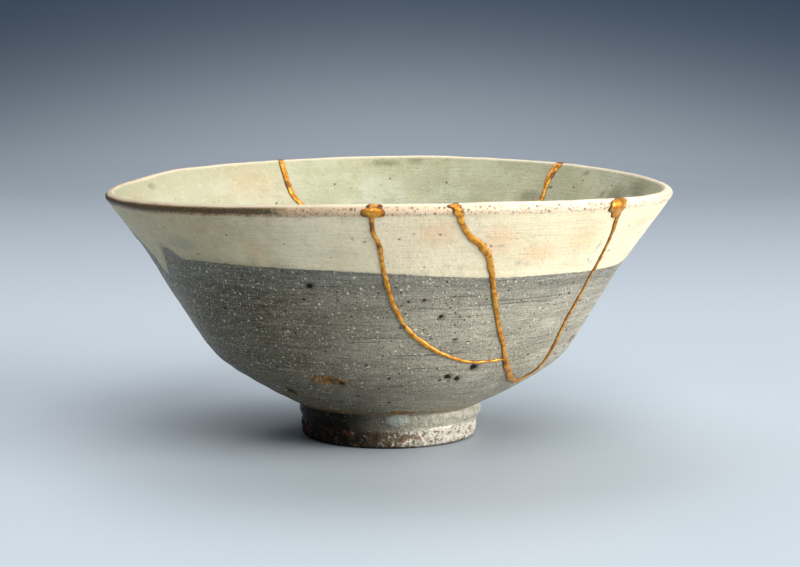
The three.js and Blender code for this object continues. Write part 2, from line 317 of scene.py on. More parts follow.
def relief(azimuth, place, bare):
    """How far the skin stands out from the turned form, in millimetres."""
    radius, height, along = (np.interp(place, PLACE, column) for column in (RADIUS, HEIGHT, MERIDIAN_MM))
    walls = step(place, FOOT_SIDE + 0.6, WALL_OUTSIDE + 0.1)
    outside = in_stretches(place, WALL_OUTSIDE, LIP + 0.3)
    inside = step(place, LIP + 0.7, WALL_INSIDE + 0.1)
    total = walls * (0.22 * waves(bare, 38, 1) + 0.07 * waves(bare, 13, 2) + 0.025 * waves(bare, 4.5, 3))
    spiral = azimuth / 360
    rings = np.sin(2 * np.pi * (along / 5.4 + spiral)) * (0.6 + 0.4 * waves(bare, 30, 4))
    total += outside * (1 - step(height, 48, 54) * 0.6) * 0.06 * rings
    total += inside * 0.11 * np.sin(2 * np.pi * (along / 8.5 - spiral)) * (0.7 + 0.3 * waves(bare, 40, 5))
    slip = above_slip_edge(azimuth, place)
    total += outside * (0.12 * step(slip, -0.25, 0.35) + 0.06 * hill((slip - 0.7) / 0.6))
    total -= outside * 0.16 * hill((height - WALL_TOP + 1.1) / 0.55)
    total += in_stretches(place, LIP - 0.06, LIP + 0.6, 0.04) * 0.12
    for at in PITS:
        away = spot(azimuth, height, radius, (at[0], at[1], at[2], at[2]))
        total += outside * at[3] * (-hill(away) + 0.25 * hill((away - 1.5) / 0.5))
    total -= inside * 0.8 * hill(spot(azimuth, height, radius, LIP_DENT))
    foot = in_stretches(place, FOOT_SIDE + 0.03, WALL_OUTSIDE, 0.06)
    crust = foot * (1 - step(height, 3.8, 5.0))
    total += foot * 0.05 * waves(bare, 2.4, 6) + foot * 0.10 * waves(bare, 9, 7)
    total += crust * (0.16 * waves(bare, 1.3, 8) + 0.12 * waves(bare, 2.8, 9))
    total += foot * 0.45 * hill(spot(azimuth, height, radius, GLAZE_DROP))
    for at, out, spread in FOOT_LEDGES:
        total += foot * hill((height - LEDGE_HEIGHT) / 1.4) * out * hill(degrees_apart(azimuth, at) / spread)
    under = step(place, 0.02, 0.1) * (1 - step(place, RING - 0.15, RING))
    total += under * (0.12 * waves(bare, 6, 10) + 0.12 * np.sin(2 * np.pi * (along / 3.1 + spiral)))
    return total


def bowl_point(azimuth, place):
    """A point of the skin: the meridian turned to the azimuth, moved out by the relief, and lifted by
    the lip's wave times the square of the share of the wall's height."""
    radius, height, out_radial, out_up = (
        np.interp(place, PLACE, column) for column in (RADIUS, HEIGHT, OUT_RADIAL, OUT_UP))
    angle = np.radians(azimuth)
    sine, cosine = np.sin(angle), np.cos(angle)
    bare = np.stack([radius * sine, -radius * cosine, height], -1)
    outward = np.stack([out_radial * sine, -out_radial * cosine, out_up], -1)
    share = np.maximum((height - FOOT_HEIGHT) / (BOWL_HEIGHT - FOOT_HEIGHT), 0)
    lift = lip_wave(azimuth) * share**2
    points = bare + outward * relief(azimuth, place, bare)[..., None]
    points[..., 2] += lift
    return points


def skin_frame(azimuth, place):
    """A point of the skin and the direction that it faces there: the cross product of the ways round
    and up, each taken as a small difference."""
    small_turn, small_step = 0.4, 0.01
    here = bowl_point(azimuth, place)
    round_way = bowl_point(azimuth + small_turn, place) - bowl_point(azimuth - small_turn, place)
    up_way = bowl_point(azimuth, place + small_step) - bowl_point(azimuth, place - small_step)
    facing = np.cross(round_way, up_way)
    return here, facing / np.linalg.norm(facing, axis=-1, keepdims=True)


# %% [markdown]
# ## The seams
#
# A seam is a short list of azimuth, height and width that a smooth curve runs through. The front seam
# has three branches. The left one ends on the middle one, and the middle and the right one meet low on
# the hip. The back seam goes down from the lip, under and up again.

# %% Lines of the seams
BRANCHES = {
    "left": [
        (-3.0, 68, 1.4), (-2.7, 62, 1.3), (-1.6, 58.5, 1.4), (-0.8, 52, 1.3), (1.4, 43, 1.35),
        (5.5, 36, 1.4), (12.5, 30.8, 1.35), (21.5, 27.3, 1.15), (29, 26.5, 0.95), (37.2, 26.7, 0.9),
    ],
    "middle": [
        (12.6, 68, 1.9), (14, 63.5, 1.6), (15.8, 60.6, 1.9), (20, 56.8, 2.0), (22.2, 53, 1.6),
        (25, 46, 1.5), (29, 37.5, 1.5), (35, 29, 1.6), (39.5, 24, 1.8), (46, 20.4, 1.8), (53, 18.6, 1.7),
    ],
    "right": [
        (50.7, 68, 2.6), (51.0, 63.8, 1.7), (52.8, 59, 1.3), (54.3, 53, 1.2), (55.3, 44, 1.25),
        (55.8, 36, 1.3), (57.6, 28, 1.35), (58, 23, 1.4), (56.8, 20, 1.6), (53, 18.6, 1.7),
    ],
    "back": [
        (-154, 68, 2.1), (-154, 60, 1.8), (-155, 55.5, 1.7), (-159.5, 50, 1.6), (-164, 42, 1.4),
        (-169, 34.5, 1.3), (-178, 29, 1.5), (-190, 26.5, 1.5), (-201, 28.5, 1.3), (-210, 34, 1.4),
        (-216, 42, 1.2), (-220, 50, 1.5), (-222, 56, 1.9), (-221.9, 59, 1.5), (-221.6, 62.5, 2.5),
        (-222.4, 68, 2.5),
    ],
}


def branch_line(name, count):
    """Samples of a branch: azimuth, place and width. Heights past the lip stay at the wall's end."""
    azimuth, height, width = smooth_curve(BRANCHES[name], count).T
    return np.column_stack([azimuth, place_at_height(np.minimum(height, WALL_TOP)), width])


LINES = {name: branch_line(name, 400) for name in BRANCHES}
print("seam samples:", {name: len(line) for name, line in LINES.items()})

# %% [markdown]
# ## The grid and its sherds
#
# One grid of azimuths and places covers the whole skin. Every face of it is given to a sherd by asking
# which seams lie round its middle. Grid points between two sherds are then slid onto the seam itself,
# so each break runs smoothly, and the same points move inside the wall.

# %% Rows and columns of the grid
COLUMNS = 470
ROWS = {
    RECESS_ROOF: 8, RECESS_SIDE: 5, RING: 5, FOOT_SIDE: 24, WALL_OUTSIDE: 82, LIP: 10, WALL_INSIDE: 82,
    FLOOR: 12,
}


def wall_shares(count):
    """Shares of the wall from 0 to 1, closer together round the slip's edge."""
    fine = np.linspace(0, 1, 2001)
    height = np.interp(WALL_OUTSIDE + fine, PLACE, HEIGHT)
    density = 1 + 0.9 * hill((height - 50.5) / 3.5) + 0.4 * hill((height - WALL_TOP) / 3)
    total = np.concatenate([[0], np.cumsum((density[1:] + density[:-1]) / 2)])
    return np.interp(np.linspace(0, total[-1], count + 1), total, fine)


def row_places():
    """The place of each row, from the underside's middle to the floor's middle, without the two ends."""
    places = []
    for stretch, count in ROWS.items():
        shares = np.linspace(0, 1, count + 1)
        if stretch == WALL_OUTSIDE:
            shares = wall_shares(count)
        if stretch == WALL_INSIDE:
            shares = 1 - wall_shares(count)[::-1]
        places.append(stretch + shares[:-1])
    return np.concatenate(places)[1:]


row_place = row_places()
row_at = {stretch: sum(ROWS[s] for s in range(stretch)) - 1 for stretch in ROWS}
azimuths, places = np.meshgrid(np.arange(COLUMNS) * 360 / COLUMNS - 180, row_place)
mirror_sum = row_at[LIP] + row_at[WALL_INSIDE]
print("grid rows and columns:", azimuths.shape)

# %% Which sherd holds each face
BODY, FRONT_LEFT, FRONT_RIGHT, BACK = range(4)


def inside_outline(x, y, outline):
    """True where a level line from the point crosses the outline an odd number of times."""
    odd = np.zeros(x.shape, bool)
    for (x0, y0), (x1, y1) in zip(outline, np.roll(outline, -1, axis=0)):
        if y0 != y1:
            crosses = (y0 > y) != (y1 > y)
            odd ^= crosses & (x < x0 + (y - y0) * (x1 - x0) / (y1 - y0))
    return odd


def with_open_top(line):
    """A seam's azimuth and place with its two ends carried up past the lip."""
    outline = line[:, :2].copy()
    outline[[0, -1], 1] = LIP + 1
    return outline


left, middle, right, back = (LINES[name][::4] for name in ("left", "middle", "right", "back"))
joint_place = left[-1, 1]
outlines = {
    FRONT_LEFT: with_open_top(np.vstack([left, middle[middle[:, 1] > joint_place][::-1]])),
    FRONT_RIGHT: with_open_top(np.vstack([middle, right[::-1]])),
    BACK: with_open_top(back),
}


def sherd_of_faces():
    """The number of the sherd for each face. The wall's outside is asked, its lip takes the answer of
    the row below it, and its inside takes the answer of its partner outside."""
    face_azimuth = azimuths[:-1] + 180 / COLUMNS
    face_place = (places[:-1] + places[1:]) / 2
    owner = np.zeros(face_place.shape, int)
    wall = slice(row_at[WALL_OUTSIDE], row_at[LIP])
    for sherd, outline in outlines.items():
        turned = np.where(face_azimuth > 90, face_azimuth - 360, face_azimuth)
        asked = turned if sherd == BACK else face_azimuth
        owner[wall][inside_outline(asked[wall], face_place[wall], outline)] = sherd
    owner[row_at[LIP]:row_at[WALL_INSIDE]] = owner[row_at[LIP] - 1]
    partner = mirror_sum - 1 - np.arange(row_at[WALL_INSIDE], row_at[FLOOR])
    owner[row_at[WALL_INSIDE]:row_at[FLOOR]] = owner[partner]
    return owner


owner = sherd_of_faces()
print("faces of each sherd:", np.bincount(owner.ravel()))

# %% Slide the points between two sherds onto the seam
def slide_to_seams():
    """Moves the azimuth and place of grid points on a break to the nearest sample of a seam, measured
    in millimetres on the skin, and their partners inside the wall with them."""
    before = np.roll(owner, 1, axis=1)
    corner = np.zeros(azimuths.shape, bool)
    corner[1:-1] = (owner[1:] != owner[:-1]) | (before[1:] != before[:-1]) | (owner[1:] != before[1:])
    samples = np.vstack([line[:, :2] for line in LINES.values()])
    wall_mm = np.interp([WALL_OUTSIDE, LIP], PLACE, MERIDIAN_MM)
    rows, columns = np.nonzero(corner[:row_at[LIP] + 1])
    kept = rows >= row_at[WALL_OUTSIDE]
    rows, columns = rows[kept], columns[kept]
    radius = np.interp(places[rows, columns], PLACE, RADIUS)
    turn = np.radians(degrees_apart(azimuths[rows, columns][:, None], samples[:, 0])) * radius[:, None]
    climb = (places[rows, columns][:, None] - samples[:, 1]) * np.ptp(wall_mm)
    climb[rows == row_at[LIP]] *= 6
    nearest = np.argmin(turn**2 + climb**2, axis=1)
    azimuths[rows, columns] = samples[nearest, 0]
    below_lip = rows < row_at[LIP]
    places[rows[below_lip], columns[below_lip]] = samples[nearest[below_lip], 1]
    partner = mirror_sum - rows
    azimuths[partner, columns] = azimuths[rows, columns]
    places[partner, columns] = LIP + WALL_INSIDE - places[rows, columns]
    at_lip = columns[rows == row_at[LIP]]
    azimuths[row_at[LIP]:row_at[WALL_INSIDE] + 1, at_lip] = azimuths[row_at[LIP], at_lip]
    return corner


on_break = slide_to_seams()
grid_points = bowl_point(azimuths, places)
print("points on a break:", int(on_break.sum()))

# %% [markdown]
# ## Marks that the shaders read
#
# Colour follows the making of the bowl, so each point carries a few numbers that a shader can read:
# how far it is above the slip's edge and from the lip, how much iron shows on its lip, whether it is
# inside, and how near it lies to rust, blushes, smears, stains, pits, the fine crack, the drop of glaze
# and a place where the slip is a thin veil. A distance stays sharp between two grid points, so an edge
# cut from it in the shader is far finer than the grid. The wheel's direction is a vector, the cosine
# and sine of the azimuth and the way along the meridian, so streaks run round the bowl without a seam.

# %% Numbers carried by every point
RUST = [(-19.5, 21.4, 5.4, 1.6), (-42, 16.0, 2.4, 0.9), (140, 26, 4, 1.6),
        (-100, 30, 3, 1.2), (6, 10.4, 3.4, 0.8)]
BLUSHES = [(10, 61, 6, 4), (-28, 56, 3.5, 5), (44, 58.5, 6, 4.5), (22, 59, 5, 5), (-38, 62, 7, 2.5),
           (33, 55, 6, 3), (64, 61, 5, 3), (-90, 60, 9, 4), (130, 59, 8, 4), (170, 57, 7, 5),
           (-150, 59, 9, 4), (90, 57, 6, 5)]
SMEARS = [(50.6, 55.8, 0.5, 1.9), (51.2, 51.8, 0.8, 0.6), (29, 53, 1.1, 0.7), (23.1, 57.6, 0.9, 0.4),
          (-48, 57.5, 5, 2), (31, 52.6, 0.6, 0.9), (100, 55, 4, 2), (-170, 54, 5, 2)]
YELLOWS = [(-145, 63, 12, 7), (-100, 62, 6, 5), (40, 55, 14, 8)]
DARKS = [(118.3, 61.7, 0.8, 0.9), (141.6, 58.7, 4.0, 1.6), (-178.8, 66.4, 4, 0.9), (174, 66.9, 2, 0.9),
         (128, 66.6, 1.2, 0.6), (104, 65, 7, 3), (112, 62, 5, 3), (-112, 66, 1.6, 1.0)]
THIN_SLIP_VEIL = (-57.2, 54.4, 3.2, 3.4)
CRACK = [(57.6, 22.6), (59.9, 24.9), (63, 27.6), (65.2, 29.8), (66.3, 33.6), (68.5, 36.4), (68.4, 42),
         (69.6, 48.6)]


def marks(azimuth, place, spots):
    """How deep a point lies in the nearest of several marks: 1 at a middle, 0 at an edge, then
    falling to -1."""
    radius, height = (np.interp(place, PLACE, column) for column in (RADIUS, HEIGHT))
    depth = np.full(azimuth.shape, -1.0)
    for at in spots:
        depth = np.maximum(depth, 1 - spot(azimuth, height, radius, at))
    return depth


FAR_FROM_CRACK = 9


def beside_crack(azimuth, place):
    """Signed millimetres sideways of the fine crack, and a plain large number beyond its ends."""
    radius, height = (np.interp(place, PLACE, column) for column in (RADIUS, HEIGHT))
    line = smooth_curve(CRACK, 300)
    at_height = np.interp(height, line[:, 1], line[:, 0])
    sideways = np.radians(degrees_apart(azimuth, at_height)) * radius
    within = (height > CRACK[0][1]) & (height < CRACK[-1][1]) & (place < LIP)
    return np.where(within, sideways, FAR_FROM_CRACK)


def lip_iron(azimuth):
    """How much dark iron shows on the lip: all of it at the left, speckles in front, a little right."""
    away = degrees_apart(azimuth, -70)
    left_side = 1 - step(np.abs(away), 41, 58)
    return np.maximum.reduce([left_side, 0.35 * hill(degrees_apart(azimuth, 92) / 9),
                              0.6 * hill(degrees_apart(azimuth, 165) / 20)])


point_marks = {
    "slip_mm": above_slip_edge(azimuths, places),
    "lip_mm": np.interp(places, PLACE, MERIDIAN_MM) - np.interp(LIP, PLACE, MERIDIAN_MM),
    "inner": step(places, LIP + 0.45, LIP + 0.85),
    "iron": lip_iron(azimuths),
    "rust": marks(azimuths, places, RUST) * (places < LIP),
    "blush": marks(azimuths, places, BLUSHES),
    "smear": np.where(places < LIP, marks(azimuths, places, SMEARS), -1),
    "yellow": np.where(places > LIP, marks(azimuths, places, YELLOWS), -1),
    "dark": np.where(places > LIP, marks(azimuths, places, DARKS), -1),
    "pit": marks(azimuths, places, [(at, high, 1.2 * wide, wide) for at, high, wide, _ in PITS[1:]]),
    "crack_mm": beside_crack(azimuths, places),
    "drop": marks(azimuths, places, [GLAZE_DROP]),
    "veil": marks(azimuths, places, [THIN_SLIP_VEIL]),
}
wheel = np.stack([
    np.cos(np.radians(azimuths)), np.sin(np.radians(azimuths)), np.interp(places, PLACE, MERIDIAN_MM)], -1)
print("marks:", sorted(point_marks))

# %% [markdown]
# ## Four sherds
#
# A sherd is its faces of the grid plus the broken faces through the wall, which join each edge outside
# to its partner inside. The broken edge steps back a little from the seam's middle, because lacquer
# fills the crack. Two points on the axis close the underside and the floor of the main sherd. On half
# of the breaks the topmost broken face has its first and last corners in one place, so the mesh drops
# it, and a triangular gap of half a millimetre stays open there, under the gold.

# %% Faces, broken faces and meshes
CRACK_HALF_WIDTH = 0.12


def grid_index(row, column):
    """The number of a grid point, with the columns going round."""
    return row * COLUMNS + column % COLUMNS


def skin_faces(sherd):
    """Four corners of every grid face that the sherd owns, with the skin on their outer side."""
    row, column = np.nonzero(owner == sherd)
    return np.column_stack([
        grid_index(row, column), grid_index(row, column + 1),
        grid_index(row + 1, column + 1), grid_index(row + 1, column)])


def broken_faces(sherd):
    """The faces through the wall along the sherd's edges. An upright edge lies between two columns
    and a level edge between two rows. Each is joined to its partner inside."""
    def partner(row, column):
        return grid_index(mirror_sum - row, column)

    top_of_lip = mirror_sum // 2
    mine = owner == sherd
    before = np.roll(mine, 1, axis=1)
    rows = np.arange(owner.shape[0])[:, None]
    upright = (rows >= row_at[WALL_OUTSIDE]) & (rows < top_of_lip)
    made = []
    for own_side, flip in ((mine & ~before, False), (before & ~mine, True)):
        r, c = np.nonzero(own_side & upright)
        ends = (r + 1, r) if flip else (r, r + 1)
        made.append(np.column_stack([
            grid_index(ends[0], c), grid_index(ends[1], c), partner(ends[1], c), partner(ends[0], c)]))
    level = (rows[1:] > row_at[WALL_OUTSIDE]) & (rows[1:] < row_at[LIP])
    for own_side, flip in ((mine[1:] & ~mine[:-1], True), (mine[:-1] & ~mine[1:], False)):
        r, c = np.nonzero(own_side & level)
        r = r + 1
        ends = (c + 1, c) if flip else (c, c + 1)
        made.append(np.column_stack([
            grid_index(r, ends[0]), grid_index(r, ends[1]), partner(r, ends[1]), partner(r, ends[0])]))
    return np.vstack(made)


def stepped_back(sherd, faces):
    """The grid's points with this sherd's broken edge drawn back towards its own faces."""
    points = grid_points.reshape(-1, 3).copy()
    middles = points[faces].mean(axis=1)
    pull = np.zeros_like(points)
    for k in range(4):
        np.add.at(pull, faces[:, k], middles - points[faces[:, k]])
    length = np.linalg.norm(pull, axis=1, keepdims=True)
    edge = on_break.ravel()
    points[edge] += (pull / np.maximum(length, 1e-9))[edge] * CRACK_HALF_WIDTH
    return points


def mesh_from(name, points_mm, polygons, numbers):
    """A mesh in metres from points and polygons, smooth but for edges sharper than 50 degrees, with a
    named number or vector on every point."""
    mesh = bpy.data.meshes.new(name)
    mesh.from_pydata(points_mm * MM, [], polygons)
    for label, values in numbers.items():
        vector = values.ndim == 2
        attribute = mesh.attributes.new(label, "FLOAT_VECTOR" if vector else "FLOAT", "POINT")
        attribute.data.foreach_set("vector" if vector else "value", values.ravel().astype(np.float32))
    mesh.polygons.foreach_set("use_smooth", np.ones(len(mesh.polygons), bool))
    mesh.set_sharp_from_angle(angle=math.radians(50))
    mesh.validate()
    piece = bpy.data.objects.new(name, mesh)
    bpy.context.scene.collection.objects.link(piece)
    return piece


def fan_to_axis(points, numbers, row, height, upside_down):
    """Adds a point on the axis at a height, with the mean of the numbers along a row of the grid, and
    gives the triangles that join it to that row."""
    ring = np.arange(COLUMNS)
    here, following = grid_index(row, ring), grid_index(row, ring + 1)
    axis = np.full(COLUMNS, len(points))
    points = np.vstack([points, [0, 0, height]])
    numbers = {
        label: np.concatenate([values, values[here].mean(axis=0, keepdims=True)])
        for label, values in numbers.items()}
    corners = [axis, following, here] if upside_down else [here, following, axis]
    return points, numbers, np.column_stack(corners)


def make_sherd(sherd, name):
    """One sherd with only the points that it uses. A broken face whose second and third corners meet,
    at the top of the lip, becomes a triangle."""
    skin = skin_faces(sherd)
    points = stepped_back(sherd, skin)
    numbers = {label: values.reshape(-1) for label, values in point_marks.items()}
    numbers["wheel"] = wheel.reshape(-1, 3)
    quads = np.vstack([skin, broken_faces(sherd)])
    fans = np.empty((0, 3), int)
    if sherd == BODY:
        last_row = azimuths.shape[0] - 1
        points, numbers, under = fan_to_axis(points, numbers, 0, RECESS_DEPTH - 0.9, True)
        points, numbers, floor = fan_to_axis(points, numbers, last_row, FLOOR_HEIGHT, False)
        fans = np.vstack([under, floor])
    used, packed = np.unique(np.concatenate([quads.ravel(), fans.ravel()]), return_inverse=True)
    fans = packed[quads.size:].reshape(-1, 3)
    quads = packed[:quads.size].reshape(-1, 4)
    doubled = quads[:, 1] == quads[:, 2]
    faces = quads[~doubled].tolist() + quads[doubled][:, [0, 1, 3]].tolist() + fans.tolist()
    return mesh_from(name, points[used], faces, {label: values[used] for label, values in numbers.items()})


SHERDS = {
    BODY: "bowl_body", FRONT_LEFT: "front_left_sherd", FRONT_RIGHT: "front_right_sherd", BACK: "back_sherd",
}
clay_pieces = []
for sherd, node in SHERDS.items():
    piece = make_sherd(sherd, f"{node}_stoneware")
    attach(piece, "root")
    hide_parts(node)
    clay_pieces.append(piece)
    print(piece.name, "triangles:", sum(len(p.vertices) - 2 for p in piece.data.polygons))

# %% [markdown]
# ## The gold beads
#
# A mender lays lacquer along the crack with a fine brush, so it stands up as a bead, swells and thins,
# and gathers in drops. Each branch is a half-round strip laid on the skin. It climbs the outside, turns
# over the lip and goes down the inside. Chips of the lip are made up with flat pads of the same lacquer.
# The strips and pads are melted into one body by a voxel remesh, which rounds their joints as wet
# lacquer does, and a little random relief makes the surface hand-laid.

# %% Strips and pads
STRIP_STEP = 0.3
SECTION_SIDES = 14


def over_lip(end):
    """The way over the lip at a seam's end, from the outside in."""
    count = 60
    return np.column_stack([
        np.full(count, end[0]), np.linspace(LIP, WALL_INSIDE, count), np.full(count, end[2])])


def strip_path(name):
    """Azimuth, place and width along a branch: up the outside, over the lip and down the inside. The
    back seam meets the lip twice, so its strip comes back to where it began."""
    line = LINES[name]
    outside = line[line[:, 1] < LIP - 0.001]
    inside = outside.copy()
    inside[:, 1] = LIP + WALL_INSIDE - inside[:, 1]
    if line[-1, 1] > LIP - 0.001:
        return np.vstack([outside, over_lip(line[-1]), inside[::-1], over_lip(line[0])[::-1]])
    return np.vstack([outside[::-1], over_lip(line[0]), inside])


def at_equal_steps(path, spacing):
    """The same path with its samples at equal millimetres on the skin."""
    along = lengths_along(bowl_point(path[:, 0], path[:, 1]))
    wanted = np.linspace(0, along[-1], int(along[-1] / spacing) + 1)
    return np.column_stack([np.interp(wanted, along, column) for column in path.T])


def closed_tube(rings):
    """Faces of a tube through rings of points, closed by a polygon at each end."""
    count, sides = rings.shape[:2]
    index = np.arange(count * sides).reshape(count, sides)
    here, there = index[:-1], index[1:]
    quads = np.stack([here, np.roll(here, -1, 1), np.roll(there, -1, 1), there], -1).reshape(-1, 4)
    return quads.tolist() + [index[0][::-1].tolist(), index[-1].tolist()]


def strip(path, seed):
    """A half-round strip on the skin: at each sample a section width/2 * cos sideways and height * sin
    outwards, sunk a little under the skin below. Random waves swell and thin it."""
    path = at_equal_steps(path, STRIP_STEP)
    points, facing = skin_frame(path[:, 0], path[:, 1])
    forward = np.gradient(points, axis=0)
    forward /= np.linalg.norm(forward, axis=1)[:, None]
    side = np.cross(facing, forward)
    swell = 1 + 0.13 * waves(points, 7, seed) + 0.08 * waves(points, 2.6, seed + 1)
    half_width = path[:, 2] / 2 * swell
    crown = np.minimum(0.34 + 0.20 * half_width, 0.56) * (1 + 0.15 * waves(points, 4, seed + 2))
    crown *= 1 - 0.75 * in_stretches(path[:, 1], LIP + 0.1, WALL_INSIDE)
    angle = np.arange(SECTION_SIDES) * 2 * np.pi / SECTION_SIDES
    out = np.where(np.sin(angle) > 0, np.sin(angle) ** 0.85 * crown[:, None], 0.35 * np.sin(angle))
    across = np.cos(angle) * half_width[:, None]
    wander = 0.07 * waves(points, 3.4, seed + 3)[:, None, None] * side[:, None, :]
    rings = points[:, None] + side[:, None] * across[..., None] + facing[:, None] * out[..., None] + wander
    return rings.reshape(-1, 3), closed_tube(rings), points, facing


def pad(azimuth, lip_mm, half_along, half_up, thickness, square=1.0):
    """A flat round pad on the skin: a disc of given half sizes along and across the lip, domed
    outwards by thickness * sqrt(1 - radius^2) and closed under the skin."""
    radius_steps, turn_steps = 14, 40
    share = np.sin(np.linspace(0, np.pi / 2, radius_steps))[1:, None]
    turn = np.arange(turn_steps) * 2 * np.pi / turn_steps
    x = share * np.sign(np.cos(turn)) * np.abs(np.cos(turn)) ** square
    y = share * np.sign(np.sin(turn)) * np.abs(np.sin(turn)) ** square
    at_mm = np.interp(LIP, PLACE, MERIDIAN_MM) + lip_mm + y * half_up
    place = np.interp(at_mm, MERIDIAN_MM, PLACE)
    radius = np.interp(place, PLACE, RADIUS)
    skin, facing = skin_frame(azimuth + np.degrees(x * half_along / radius), place)
    dome = thickness * np.sqrt(np.maximum(1 - share**2, 0)) * np.ones_like(x)
    outer = skin + facing * dome[..., None]
    inner = skin - facing * 0.3
    rings = np.concatenate([inner, outer[::-1]])
    return rings.reshape(-1, 3), closed_tube(rings)


PADS = {
    "front": [
        # azimuth, millimetres above the wall's end, half width, half height, thickness, squareness
        (-2.6, 0.35, 3.0, 1.1, 0.55, 0.6), (-2.3, 1.9, 2.1, 1.0, 0.26, 1.0),
        (12.2, 1.75, 1.9, 0.75, 0.30, 1.0), (12.8, 0.7, 1.35, 1.0, 0.40, 1.0),
        (13.4, -0.4, 1.05, 1.2, 0.42, 1.0),
        (48.8, 0.2, 3.3, 1.9, 0.70, 0.9), (49.8, -1.6, 2.1, 1.8, 0.5, 1.0), (50.4, 1.9, 2.7, 1.1, 0.3, 1.0),
    ],
    "back": [
        (-154, 1.4, 1.4, 1.6, 0.35, 0.9), (-222.2, 1.4, 1.7, 1.8, 0.40, 0.9),
    ],
}
LACQUER = [
    # azimuth, height and reach of the places where the powder has worn off
    (-4.6, 66.0, 1.9), (-2.9, 64.3, 1.2), (-1.8, 59.0, 0.7), (11.6, 66.6, 0.8), (36.8, 25.6, 0.8),
    (4.0, 37.4, 0.6), (57.6, 27.5, 0.8), (-153.2, 62, 1.2), (-221.0, 60, 1.4), (-222.8, 65.5, 1.2),
]
DROPS = {
    # branch: heights where lacquer gathered, and how far the drop reaches
    "right": [(42, 0.8), (37, 0.72), (28, 0.75), (25, 0.75)], "middle": [(57.4, 1.05), (20.6, 1.1)],
    "left": [(58.0, 0.75)], "back": [(29, 0.95)],
}


def drop_pads(name):
    """Pads for the drops of a branch, outside and inside, at their heights on the line."""
    line = LINES[name]
    height = np.interp(line[:, 1], PLACE, HEIGHT)
    start = np.interp(LIP, PLACE, MERIDIAN_MM)
    made = []
    for at, reach in DROPS[name]:
        k = int(np.argmin(np.abs(height - at)))
        for place in (line[k, 1], LIP + WALL_INSIDE - line[k, 1]):
            from_lip = np.interp(place, PLACE, MERIDIAN_MM) - start
            made.append((line[k, 0], from_lip, reach, reach * 1.3, 0.5, 1.0))
    return made


# %% Melt each seam into one body
VOXEL = 0.17


def relaxed(points, edges, rounds):
    """Each point moved half-way to the mean of its neighbours, several times."""
    count = np.bincount(edges.ravel(), minlength=len(points))[:, None]
    for _ in range(rounds):
        total = np.zeros_like(points)
        np.add.at(total, edges[:, 0], points[edges[:, 1]])
        np.add.at(total, edges[:, 1], points[edges[:, 0]])
        points = (points + total / count) / 2
    return points


def nearest_sample(points, samples):
    """The number of the nearest sample for each point, a few thousand points at a time."""
    found = [np.argmin(((chunk[:, None] - samples) ** 2).sum(-1), 1) for chunk in np.array_split(points, 40)]
    return np.concatenate(found)


def inside_lacquer(points):
    """How many millimetres each point lies inside the nearest worn place; negative outside them all."""
    azimuth = np.degrees(np.arctan2(points[:, 0], -points[:, 1]))
    radius = np.hypot(points[:, 0], points[:, 1])
    depth = np.full(len(points), -5.0)
    for at, height, reach in LACQUER:
        away = np.hypot(np.radians(degrees_apart(azimuth, at)) * radius, points[:, 2] - height)
        depth = np.maximum(depth, reach - away)
    return depth


def make_seam(name, branches, pads, seed):
    """One body of lacquer from strips and pads, with its height above the skin on every point."""
    parts, faces, samples, outward, shift = [], [], [], [], 0
    for k, branch in enumerate(branches):
        points, polygons, line, facing = strip(strip_path(branch), seed + 10 * k)
        samples.append(line)
        outward.append(facing)
        parts.append(points)
        faces += [[v + shift for v in polygon] for polygon in polygons]
        shift += len(points)
        pads = pads + drop_pads(branch)
    for values in pads:
        points, polygons = pad(*values)
        parts.append(points)
        faces += [[v + shift for v in polygon] for polygon in polygons]
        shift += len(points)
    piece = mesh_from(name, np.vstack(parts), faces, {})
    melt = piece.modifiers.new("melt", "REMESH")
    melt.mode, melt.voxel_size = "VOXEL", VOXEL * MM
    bpy.context.view_layer.update()
    melted = bpy.data.meshes.new_from_object(piece.evaluated_get(bpy.context.evaluated_depsgraph_get()))
    bpy.data.objects.remove(piece)
    points = np.empty(len(melted.vertices) * 3)
    melted.vertices.foreach_get("co", points)
    edges = np.empty(len(melted.edges) * 2, int)
    melted.edges.foreach_get("vertices", edges)
    points = relaxed(points.reshape(-1, 3) / MM, edges.reshape(-1, 2), 5)
    melted.vertices.foreach_set("co", (points * MM).ravel())
    normals = vertex_normals(melted)
    hand = 0.030 * waves(points, 1.5, seed + 70) + 0.016 * waves(points, 0.7, seed + 71)
    points = points + normals * hand[:, None]
    near = nearest_sample(points, np.vstack(samples))
    proud = ((points - np.vstack(samples)[near]) * np.vstack(outward)[near]).sum(-1)
    corners = np.empty(len(melted.loops), int)
    melted.loops.foreach_get("vertex_index", corners)
    numbers = {"proud_mm": proud, "lacquer_mm": inside_lacquer(points)}
    return mesh_from(name, points, corners.reshape(-1, 4).tolist(), numbers)


def vertex_normals(mesh):
    """The direction that each point of a mesh faces."""
    normals = np.empty(len(mesh.vertices) * 3, np.float32)
    mesh.vertex_normals.foreach_get("vector", normals)
    return normals.reshape(-1, 3)


seams = {
    "front_gold_seam": (["left", "middle", "right"], PADS["front"], 200),
    "back_gold_seam": (["back"], PADS["back"], 300),
}
gold_pieces = []
for node, (branches, pads, seed) in seams.items():
    piece = make_seam(f"{node}_lacquer", branches, pads, seed)
    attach(piece, "root")
    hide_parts(node)
    gold_pieces.append(piece)
    print(piece.name, "triangles:", sum(len(p.vertices) - 2 for p in piece.data.polygons))

# %% [markdown]
# ## Small tools for shaders
#
# Every finish below is built from nodes. A helper adds a node, sets its plain values and joins its
# inputs. The colours are written as a painter would pick them, in display values, and turned into the
# linear values that a shader wants.

